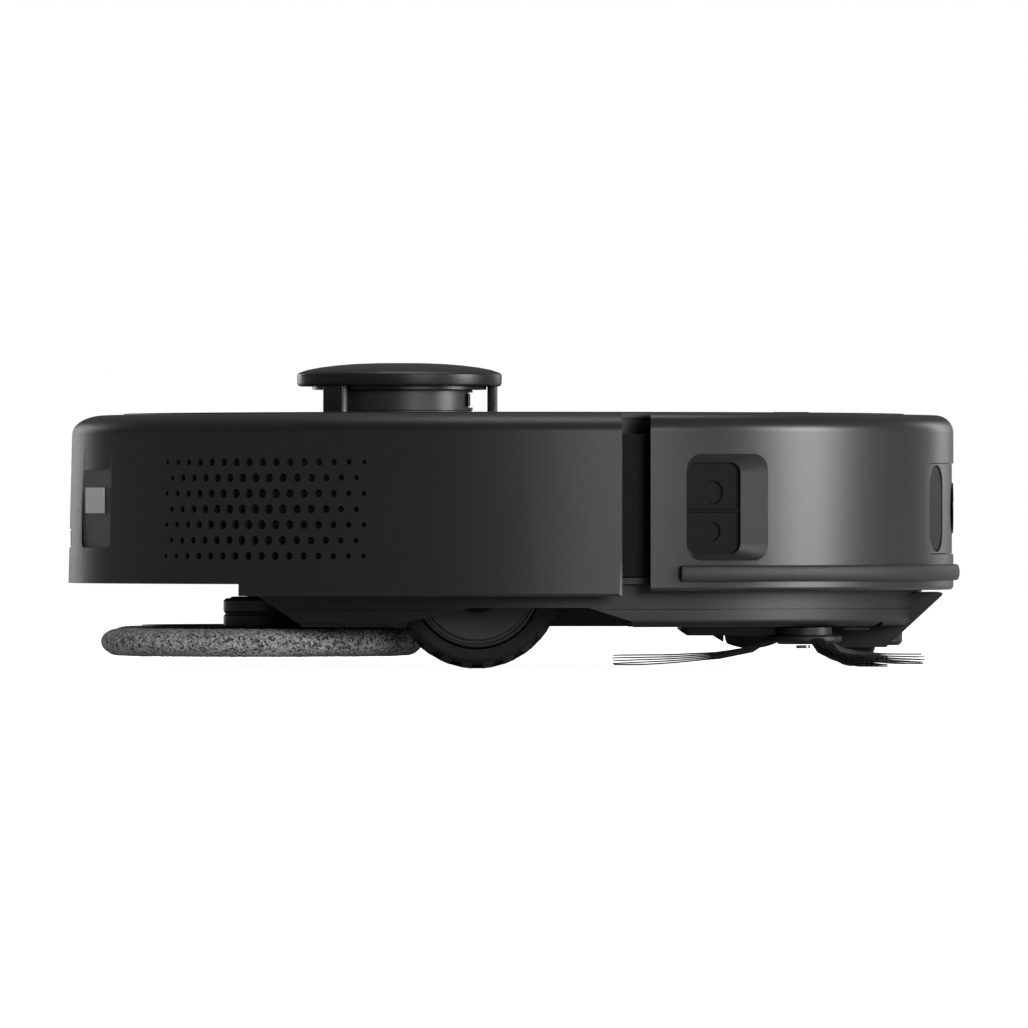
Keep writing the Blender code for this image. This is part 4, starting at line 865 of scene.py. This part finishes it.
def tread_bars(centre, count, half):
    """Bars with sloping flanks, spaced round the tyre."""
    work = bmesh.new()
    for i in range(count):
        for row, lean in ((1, 0.10), (-1, -0.10)):
            turn = math.tau * (i + (0.5 if row < 0 else 0)) / count
            place = (Matrix.Translation(centre) @ Matrix.Rotation(turn, 4, "Y")
                     @ Matrix.Translation((0, row * half * 0.52,
                                           WHEEL_R - 1.25 * MM)) @ Matrix.Rotation(lean, 4, "Z")
                     @ Matrix.Diagonal((4.6 * MM, half * 0.86, 2.3 * MM, 1)))
            bar = bmesh.ops.create_cube(work, size=1.0, matrix=place)["verts"]
            top = [v for v in bar if (v.co - centre).xz.length > WHEEL_R - 1.2 * MM]
            middle = sum((v.co for v in top), Vector()) / len(top)
            for v in top:
                v.co = middle + (v.co - middle) * 0.82
    return work


def clipped(piece, centre, r, half):
    """Keeps the piece inside the tyre's true cylinder, so bar corners stay within its radius."""
    keep = turned([(0, half), (r, half), (r, -half), (0, -half)], closed=False, steps=144)
    bmesh.ops.rotate(keep, cent=(0, 0, 0), matrix=Matrix.Rotation(math.pi / 2, 3, "X"), verts=keep.verts)
    return carve(piece, shifted(keep, centre), operation="INTERSECT")


def drive_wheel(side, word):
    centre = Vector((WHEEL_X, side * WHEEL_Y, WHEEL_R))
    half = 11 * MM
    base = WHEEL_R - 1.6 * MM
    inner = 25.2 * MM
    ring = ([(inner, half - 0.4 * MM)] + arc(base - 2.6 * MM, half - 2.6 * MM, 2.6 * MM, 2.6 * MM, 90, 0, 6)
            + [(base, 0.9 * MM), (base - 1.0 * MM, 0.5 * MM), (base - 1.0 * MM, -0.5 * MM),
               (base, -0.9 * MM)]
            + arc(base - 2.6 * MM, 2.6 * MM - half, 2.6 * MM, 2.6 * MM, 0, -90,
                  6) + [(inner, 0.4 * MM - half)])
    tyre = solid("tyre_" + word, lying_turned(ring, centre, side))
    carve(tyre, tread_bars(centre, 24, half), operation="UNION")
    clipped(tyre, centre, WHEEL_R - 0.02 * MM, half - 0.05 * MM)
    soften(tyre, 0.25 * MM, 2)
    done(tyre, rubber, "wheel_" + word, "rubber", "wheel_tyre_" + word)
    face = [(0, half - 4.0 * MM), (6.5 * MM, half - 4.0 * MM), (7.0 * MM, half - 3.4 * MM),
            (8.4 * MM, half - 3.4 * MM),
            (11.0 * MM, half - 1.7 * MM), (21.4 * MM, half - 1.2 * MM), (22.0 * MM, half - 2.0 * MM),
            (23.0 * MM, half - 2.0 * MM),
            (23.4 * MM, half - 1.0 * MM), (24.4 * MM, half - 1.4 * MM), (24.7 * MM, half - 2.6 * MM),
            (24.7 * MM, 3 * MM - half),
            (8 * MM, 3 * MM - half), (8 * MM, -half - 1 * MM), (4 * MM, -half - 1 * MM),
            (4 * MM, -21.5 * MM), (0, -21.5 * MM)]
    disc = solid("wheel_disc_" + word, lying_turned(face, centre, side, closed=False))
    soften(disc, 0.3 * MM, 2, 30)
    done(disc, hub_abs, "wheel_" + word, "black_plastic", "wheel_hub_" + word)


drive_wheel(1, "left")
drive_wheel(-1, "right")

# %% [markdown]
# ## Brushes
# The main brush is a rubber sleeve with six blades that lean and twist, so only one point of a
# blade meets the floor at a time. The side brush has three arms; each arm is a soft stem with a
# bundle of fine bristles that spreads towards its tip.

# %% Main brush


def blade_section(turn):
    """The sleeve's outline with six blades that bend backwards towards their tips."""
    points = []
    tip = (VANE_HIGH.x - VANE_LOW.x) / 2 - 0.15 * MM
    for i in range(6):
        middle = turn + math.tau * i / 6
        for r, lean in ((12.4, -0.42), (12.8, -0.16), (15.5, -0.09), (18.6, -0.02), (21.0, 0.08),
                        (tip / MM, 0.13),
                        (tip / MM, 0.20), (20.8, 0.17), (18.2, 0.08), (15.2, 0.04), (12.9, 0.08),
                        (12.4, 0.30)):
            points.append((r * MM * math.cos(middle + lean), r * MM * math.sin(middle + lean)))
    return points


def bridged(sections):
    """Closed outlines joined one after another into a tube."""
    work = bmesh.new()
    rings = [[work.verts.new(p) for p in section] for section in sections]
    for first, second in zip(rings, rings[1:]):
        for i in range(len(first)):
            j = (i + 1) % len(first)
            work.faces.new((first[i], first[j], second[j], second[i]))
    work.faces.new(rings[0])
    work.faces.new(rings[-1])
    bmesh.ops.recalc_face_normals(work, faces=work.faces)
    return work


BRUSH_X = (VANE_LOW.x + VANE_HIGH.x) / 2
BRUSH_Z = (VANE_LOW.z + VANE_HIGH.z) / 2
CORE_HOLE_R = 8.4 * MM
sections = []
for i in range(57):
    y = (i - 28) / 28 * VANE_HIGH.y * 0.998
    turn = math.radians(50) * abs(y) / VANE_HIGH.y
    sections.append([(BRUSH_X + x, y, BRUSH_Z + z) for x, z in blade_section(turn)])
vanes = solid("brush_blades", bridged(sections))
carve(vanes, round_bar(CORE_HOLE_R, 0.3, across_robot((BRUSH_X, 0, BRUSH_Z)), 48))
soften(vanes, 0.2 * MM, 2)
done(vanes, rubber, "main_brush", "rubber", "brush_vanes")

# %% Brush guard with combs
guard = solid("brush_frame", slab([(x + BRUSH_X - 0.8 * MM, y, GUARD_LOW.z) for x, y in
                                   rounded(26.4 * MM, GUARD_LOW.y + 0.1 * MM, GUARD_HIGH.y - 0.1 * MM,
                                           5 * MM)], (0, 0, 3.3 * MM)))
carve(guard, slab([(x + BRUSH_X, y, 0) for x, y in rounded(20.4 * MM, -70.4 * MM, 70.4 * MM, 3 * MM)],
                  (0, 0, 40 * MM)))
slope_cut = extruded([(GUARD_LOW.x - 1 * MM, GUARD_LOW.z - 1 * MM),
                      (GUARD_LOW.x + 3 * MM, GUARD_LOW.z - 0.2 * MM),
                      (GUARD_LOW.x - 1 * MM, GUARD_LOW.z + 2.4 * MM)], FAR)
carve(guard, slope_cut)
for side in (1, -1):
    carve(guard, block((BRUSH_X - 12 * MM, side * 73.6 * MM - 1.1 * MM, -FAR),
                       (BRUSH_X + 12 * MM, side * 73.6 * MM + 1.1 * MM, GUARD_LOW.z + 1.2 * MM)))
soften(guard, 0.45 * MM)
done(guard, hub_abs, "chassis", "black_plastic", "brush_guard")

# %% Side brush
ARM_TURNS = [math.radians(a) for a in (-68, 52, 172)]
hub_face = [(0, 10.0 * MM), (3.4 * MM, 10.0 * MM), (3.9 * MM, 9.3 * MM), (9.6 * MM, 9.3 * MM),
            (11.0 * MM, 10.8 * MM), (11.0 * MM, 15.9 * MM),
            (2.5 * MM, 15.9 * MM), (2.5 * MM, TRAY_TOP), (0, TRAY_TOP)]
hub = solid("sweeper_hub", turned(hub_face, closed=False, steps=72, centre=(SWEEP_X, SWEEP_Y, 0)))
soften(hub, 0.3 * MM, 2)
done(hub, black_abs, "side_brush", "black_plastic", "side_brush_hub")
collar = solid("sweeper_arms", turned([(11.3 * MM, 13 * MM), (14.2 * MM, 12.8 * MM), (14.7 * MM, 12.2 * MM),
                                       (14.7 * MM, 10.6 * MM),
                                       (14.0 * MM, 10 * MM), (11.3 * MM, 10 * MM)], steps=72,
                                       centre=(SWEEP_X, SWEEP_Y, 0)))
soften(collar, 0.2 * MM, 2)
done(collar, black_abs, "side_brush", "black_plastic")


def arm_height(r):
    """How high the arm's middle lies at a distance from the hub."""
    stops = ((13.0, 11.5), (20.0, 7.0), (33.0, 4.4), (52.0, 2.8), (76.0, 1.7))
    for (r0, z0), (r1, z1) in zip(stops, stops[1:]):
        if r <= r1:
            return z0 + (z1 - z0) * (r - r0) / (r1 - r0)
    return stops[-1][1]


def bristles(turn, count=40):
    """Fine bristles in a flat bundle that spreads from a stem towards the tip."""
    rng = random.Random(round(turn * 1000))
    curve = bpy.data.curves.new("bristles", "CURVE")
    curve.dimensions = "3D"
    curve.bevel_depth = 0.33 * MM
    curve.bevel_resolution = 2
    curve.use_fill_caps = True
    for i in range(count):
        side = (i + 0.5) / count * 2 - 1
        reach = 75.2 - 3.0 * abs(side) - rng.uniform(0, 1.6)
        spline = curve.splines.new("POLY")
        spline.points.add(11)
        for step, point in enumerate(spline.points):
            share = step / 11
            r = 13.0 + (reach - 13.0) * share
            spread = side * (1.5 + 3.6 * share ** 1.4) + 0.25 * math.sin(9 * share + i)
            lift = (i % 5 - 1) * (0.30 + 0.75 * share)
            z = max(arm_height(r) + lift, 1.36)
            x = SWEEP_X + (r * math.cos(turn) - spread * math.sin(turn)) * MM
            y = SWEEP_Y + (r * math.sin(turn) + spread * math.cos(turn)) * MM
            point.co = (x, y, z * MM, 1)
            point.radius = 1.0 - 0.35 * share
    made = bpy.data.objects.new("bristles", curve)
    scene_collection.objects.link(made)
    mesh = bpy.data.meshes.new_from_object(made.evaluated_get(bpy.context.evaluated_depsgraph_get()))
    bpy.data.objects.remove(made, do_unlink=True)
    return mesh


scene_collection = bpy.context.scene.collection
for index, turn in enumerate(ARM_TURNS):
    tuft = bpy.data.objects.new("sweeper_tuft_%d" % (index + 1), bristles(turn))
    scene_collection.objects.link(tuft)
    done(tuft, bristle_nylon, "side_brush", "rubber")
    stem = [[(SWEEP_X + (r * math.cos(turn) - (a - half) * math.sin(turn)) * MM,
              SWEEP_Y + (r * math.sin(turn) + (a - half) * math.cos(turn)) * MM,
              (arm_height(r) + b) * MM) for a,
              b in ((0, 0.9), (0, -0.9), (2 * half, -0.9), (2 * half, 0.9))]
            for r, half in ((12.6, 3.0), (16, 2.9), (20, 2.7), (26, 2.6), (33, 2.5), (36, 2.4))]
    grip = soften(solid("sweeper_stem_%d" % (index + 1), bridged(stem)), 0.4 * MM, 3)
    done(grip, rubber, "side_brush", "rubber", "side_brush_arms")

# %% [markdown]
# ## Mop pads
# A pad is a disc of looped cloth over thin foam, held to a stiff plate. The cloth is pulled round
# the foam and swells round its rim. The disc starts a little small and is blown up by the cloth
# solver under light pressure with its top held, and each point may move 5 mm at most. It is then
# pressed back inside the pad's true form. Knots of loops are raised last, because a remesh would
# have smoothed them away. One pad is made, and the other is its copy.

# %% Pad body by cloth simulation
PAD_LOW, PAD_HIGH = span("mop_pad_right")
PAD_R = (PAD_HIGH.y - PAD_LOW.y) / 2
PLATE_LOW, PLATE_HIGH = span("mop_plate_right")
PLATE_R = (PLATE_HIGH.y - PLATE_LOW.y) / 2


def pad_form(centre, shrink):
    """The pad's outer form, a little smaller all round, before it swells."""
    half = (PAD_HIGH.z - PAD_LOW.z) / 2 - shrink
    middle = (PAD_HIGH.z + PAD_LOW.z) / 2
    edge = arc(PAD_R - shrink - half, middle, half, half, 90, -90, 12)
    return turned([(0, middle + half)] + edge + [(0, middle - half)], closed=False, steps=120,
                  centre=centre)


def swollen(piece, top, cap):
    """Blows the piece up as cloth, with its top held, and returns it with capped movement."""
    shape = piece.modifiers.new("even_mesh", "REMESH")
    shape.mode = "VOXEL"
    shape.voxel_size = 4 * MM
    applied(piece)
    start = [v.co.copy() for v in piece.data.vertices]
    held = piece.vertex_groups.new(name="held")
    held.add([v.index for v in piece.data.vertices if v.co.z > top], 1.0, "REPLACE")
    cloth = piece.modifiers.new("swell", "CLOTH")
    cloth.settings.vertex_group_mass = "held"
    cloth.settings.use_pressure = True
    cloth.settings.uniform_pressure_force = 4.0
    cloth.settings.tension_stiffness = 30
    cloth.settings.compression_stiffness = 30
    cloth.settings.effector_weights.gravity = 0.0
    for step in range(1, 21):
        bpy.context.scene.frame_set(step)
    applied(piece)
    for vertex, old in zip(piece.data.vertices, start):
        move = vertex.co - old
        if move.length > cap:
            vertex.co = old + move.normalized() * cap
    bpy.context.scene.frame_set(1)
    finer = piece.modifiers.new("finer", "SUBSURF")
    finer.levels = finer.render_levels = 1
    return applied(piece)


def within_form(piece, centre):
    """Presses the swollen cloth back inside the pad's true form, flat where it meets floor and plate."""
    half = (PAD_HIGH.z - PAD_LOW.z) / 2
    middle = (PAD_HIGH.z + PAD_LOW.z) / 2
    for vertex in piece.data.vertices:
        flat = vertex.co.xy - Vector(centre).xy
        over = flat.length - (PAD_R - half)
        away = Vector((max(over, 0.0), vertex.co.z - middle))
        if away.length > half - 0.35 * MM and away.length > 0:
            away = away.normalized() * (half - 0.35 * MM)
            vertex.co.z = middle + away.y
            if over > 0:
                vertex.co.xy = Vector(centre).xy + flat.normalized() * (PAD_R - half + away.x)


def raise_loops(piece, centre):
    """Small knots all over the cloth, in rings, so that the rim is not a smooth line."""
    piece.data.update()
    for vertex in piece.data.vertices:
        flat = vertex.co.xy - Vector(centre).xy
        ring = math.sin(math.tau * flat.length / (7 * MM))
        knot = noise.noise(vertex.co / (1.6 * MM)) * 0.26 * MM
        vertex.co += vertex.normal * (knot + (0.10 * MM * ring if vertex.normal.z < -0.5 else 0))


CENTRE = (0, 0, 0)
first = solid("mop_cloth_left", pad_form(CENTRE, 0.6 * MM))
swollen(first, PAD_HIGH.z - 1.6 * MM, 5 * MM)
within_form(first, CENTRE)
finer = first.modifiers.new("finer", "SUBSURF")
finer.levels = finer.render_levels = 1
applied(first)
raise_loops(first, CENTRE)
carve(first, drill(0, 0, PLATE_R + 0.4 * MM, PLATE_LOW.z - 0.3 * MM, FAR))
second = bpy.data.objects.new("mop_cloth_right", first.data.copy())
bpy.context.scene.collection.objects.link(second)
for pad, side, word in ((first, 1, "left"), (second, -1, "right")):
    pad.data.transform(Matrix.Translation((MOP_X, side * MOP_Y, 0)))
    done(pad, mop_cloth, "mop_" + word, "mop_fabric", "mop_pad_" + word)

# %% Plates and hubs
for side, word in ((1, "left"), (-1, "right")):
    centre = (MOP_X, side * MOP_Y, 0)
    plate = solid("mop_disc_" + word, turned([(0, PLATE_LOW.z), (PLATE_R, PLATE_LOW.z),
                                              (PLATE_R, PLATE_HIGH.z - 1.0 * MM),
                                             (PLATE_R - 0.8 * MM, PLATE_HIGH.z), (0, PLATE_HIGH.z)],
                                             closed=False, steps=144, centre=centre))
    for i in range(10):
        turn = math.tau * i / 10
        pocket_cut = block((24 * MM, -5 * MM, PLATE_HIGH.z - 1.4 * MM), (44 * MM, 5 * MM, FAR))
        turn_about_z(pocket_cut, turn)
        carve(plate, shifted(pocket_cut, centre))
    soften(plate, 0.3 * MM, 2)
    done(plate, black_abs, "mop_" + word, "black_plastic", "mop_plate_" + word)
    hub_r = HUB_HIGH.x - MOP_X
    profile = [(0, HUB_HIGH.z), (4 * MM, HUB_HIGH.z), (4 * MM, 29 * MM), (7 * MM, 27 * MM),
               (hub_r - 1.0 * MM, 27 * MM), (hub_r, 26 * MM),
               (hub_r, 21.8 * MM), (hub_r - 0.6 * MM, 21.4 * MM), (hub_r - 0.6 * MM, 20.6 * MM),
               (hub_r, 20.2 * MM),
               (hub_r, HUB_LOW.z + 0.02 * MM), (0, HUB_LOW.z + 0.02 * MM)]
    hub = solid("mop_drive_" + word, turned(profile, closed=False, steps=96, centre=centre))
    soften(hub, 0.3 * MM, 2)
    done(hub, hub_abs, "mop_" + word, "black_plastic", "mop_hub_" + word)

# %% [markdown]
# ## Caster and ramp
# The small front wheel turns in a round fork. The ramp before it is a wedge with ribs underneath,
# so that the robot climbs onto a rug's edge.

# %% Ramp and roller
ROLLER_LOW, ROLLER_HIGH = span("caster_wheel")
FORK_LOW, FORK_HIGH = span("caster_fork")
FORK_X = (FORK_LOW.x + FORK_HIGH.x) / 2
AXLE_HOLE_R = 1.9 * MM
ramp_side = [(RAMP_LOW.x, RAMP_LOW.z), (FORK_X + 7.8 * MM, RAMP_LOW.z), (RAMP_HIGH.x, RAMP_HIGH.z - 1 * MM),
             (RAMP_HIGH.x, RAMP_HIGH.z), (RAMP_LOW.x, RAMP_HIGH.z)]
ramp_block = solid("front_ramp", extruded(ramp_side, RAMP_HIGH.y))
carve(ramp_block, drill(FORK_X, 0, 16.5 * MM))
for i in range(-5, 6):
    y = i * 6.6 * MM
    groove = extruded([(FORK_X + 9 * MM, RAMP_LOW.z - 2 * MM), (RAMP_HIGH.x + 2 * MM, RAMP_HIGH.z - 6 * MM),
                       (RAMP_HIGH.x - 5 * MM, RAMP_HIGH.z - 4.2 * MM),
                       (FORK_X + 9.6 * MM, RAMP_LOW.z + 2.6 * MM)], 1.3 * MM, y)
    carve(ramp_block, groove)
soften(ramp_block, 0.5 * MM, 2)
done(ramp_block, black_abs, "chassis", "black_plastic", "caster_ramp")
fork_face = [(0, FORK_LOW.z), (13.6 * MM, FORK_LOW.z), (15 * MM, FORK_LOW.z + 1.4 * MM),
             (15 * MM, RAMP_HIGH.z - 0.5 * MM), (3 * MM, RAMP_HIGH.z - 0.5 * MM),
             (3 * MM, TRAY_TOP), (0, TRAY_TOP)]
fork = solid("caster_yoke", turned(fork_face, closed=False, steps=96, centre=(FORK_X, 0, 0)))
carve(fork, block((-FAR, ROLLER_LOW.y - 0.5 * MM, -FAR),
                  (ROLLER_HIGH.x + 0.5 * MM, ROLLER_HIGH.y + 0.5 * MM, ROLLER_HIGH.z + 0.5 * MM)))
roller_middle = (ROLLER_LOW + ROLLER_HIGH) / 2
carve(fork, round_bar(AXLE_HOLE_R, 0.1, across_robot(roller_middle)))
soften(fork, 0.35 * MM, 2)
done(fork, black_abs, "caster", "black_plastic", "caster_fork")
half = ROLLER_HIGH.y
roller_r = ROLLER_HIGH.x - roller_middle.x
roller_face = ([(2.1 * MM, half)] + arc(roller_r - 1.6 * MM, half - 1.6 * MM, 1.6 * MM, 1.6 * MM, 90, 0, 6)
               + arc(roller_r - 1.6 * MM, 1.6 * MM - half, 1.6 * MM, 1.6 * MM, 0, -90,
                     6) + [(2.1 * MM, -half)])
done(solid("caster_roller", lying_turned(roller_face, roller_middle, 1, steps=72)), rubber, "caster_roller",
     "rubber", "caster_wheel")

# %% [markdown]
# ## The pieces that keep their engineering shape
# What the cover hides keeps its plain shape: motors, battery, circuit board, tank and bin. Each
# still gets its real material, because the lid opens and the object is seen from below too.

# %% Materials for every other node
BY_NODE = {
    "battery": rubber, "bin_filter": filter_paper, "brush_core": hub_abs, "brush_cover": smoke_plastic,
    "brush_gearbox": black_abs, "caster_axle": turned_steel, "dust_bin": smoke_plastic,
    "fan_housing": black_abs,
    "fan_impeller": turned_steel, "lid_hinge_pin": turned_steel, "lidar_belt": rubber,
    "lidar_motor": turned_steel,
    "lidar_pulley": turned_steel, "main_board": board_mask, "side_brush_motor": turned_steel,
    "side_brush_screw": turned_steel, "water_tank": smoke_plastic, "charge_contact_left": contact_plate,
    "charge_contact_right": contact_plate, "rear_window": window_gloss, "cliff_sensor_left": window_gloss,
    "cliff_sensor_right": window_gloss, "caster_wheel": rubber, "wheel_tyre_left": rubber,
    "wheel_tyre_right": rubber,
    "brush_vanes": rubber, "mop_pad_left": mop_cloth, "mop_pad_right": mop_cloth, "side_brush_arms": rubber,
    "brush_guard": hub_abs, "caster_ramp": black_abs, "wheel_hub_left": hub_abs, "wheel_hub_right": hub_abs,
}
painted = 0
for name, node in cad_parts.items():
    node.data.materials.clear()
    node.data.materials.append(BY_NODE.get(name, black_abs))
    painted += 1
print("nodes painted:", painted)

# %% [markdown]
# ## Studio
# The floor is pale and plain. Soft lamps stand at the front, the right, the far side and above: a
# dark satin body
# is shaped by what it mirrors, so the lamps' places matter more than their strength. The camera
# looks level, from the robot's right, through a long lens that keeps the sides nearly parallel.

# %% Floor, light and camera
scene = bpy.context.scene


def lamp(name, place, aim, size, power, tall=None):
    """A rectangular area lamp that faces a point."""
    data = bpy.data.lights.new(name, "AREA")
    data.shape = "RECTANGLE"
    data.size = size
    data.size_y = tall or size
    data.energy = power
    made = bpy.data.objects.new(name, data)
    made.location = place
    made.rotation_euler = (Vector(aim) - Vector(place)).to_track_quat("-Z", "Y").to_euler()
    scene.collection.objects.link(made)


floor_work = bmesh.new()
bmesh.ops.create_grid(floor_work, x_segments=1, y_segments=1, size=6.0)
floor = solid("floor", shifted(floor_work, (0, 0, -0.2 * MM)))
paper, tree, shader = plain_material("pale_paper", "#f0f0f0", 1.0)
shader.inputs["Specular IOR Level"].default_value = 0.0
shader.inputs["Emission Color"].default_value = (1, 1, 1, 1)
seen = add(tree, "ShaderNodeMath", {0: add(tree, "ShaderNodeLightPath").outputs["Is Camera Ray"]},
           operation="MULTIPLY")
seen.inputs[1].default_value = 0.97
tree.links.new(seen.outputs["Value"], shader.inputs["Emission Strength"])
floor.data.materials.append(paper)
MIDDLE = (0, 0, 60 * MM)
lamp("front_right_box", (2.26, -0.42, 0.45), MIDDLE, 0.75, 36, 0.9)
lamp("side_box", (1.5, -2.2, 0.5), MIDDLE, 0.9, 8, 0.8)
lamp("near_box", (0.95, -2.6, 0.55), MIDDLE, 0.9, 11, 0.7)
lamp("far_front_box", (1.25, 1.95, 0.4), MIDDLE, 0.35, 2.6, 0.7)
lamp("far_rear_box", (-1.0, 2.0, 0.35), MIDDLE, 0.40, 3.2, 0.7)
lamp("top_box", (0.2, 0.8, 2.4), MIDDLE, 1.2, 11)
world = bpy.data.worlds.new("studio")
world.use_nodes = True
tree = world.node_tree
backdrop = tree.nodes["Background"]
backdrop.inputs["Color"].default_value = (1, 1, 1, 1)
soft = add(tree, "ShaderNodeBackground", Color=(1, 1, 1, 1), Strength=0.13)
ray = add(tree, "ShaderNodeLightPath")
mix = add(tree, "ShaderNodeMixShader", {0: ray.outputs["Is Camera Ray"], 1: soft.outputs[0],
                                        2: backdrop.outputs[0]})
tree.links.new(mix.outputs[0], tree.nodes["World Output"].inputs["Surface"])
scene.world = world
scene.view_settings.view_transform = "Standard"

LENS = 600.0
SENSOR = 36.0
VIEW_WIDTH = 0.4037
camera_data = bpy.data.cameras.new("camera")
camera_data.lens = LENS
camera_data.sensor_width = SENSOR
camera_data.clip_end = 30.0
camera = bpy.data.objects.new("camera", camera_data)
camera.location = (0, -VIEW_WIDTH * LENS / SENSOR, 59.7 * MM)
camera.rotation_euler = (math.pi / 2, 0, 0)
scene.collection.objects.link(camera)
scene.camera = camera

# %% [markdown]
# Last, the scene is brought up to date.

# %% Finish
bpy.context.view_layer.update()
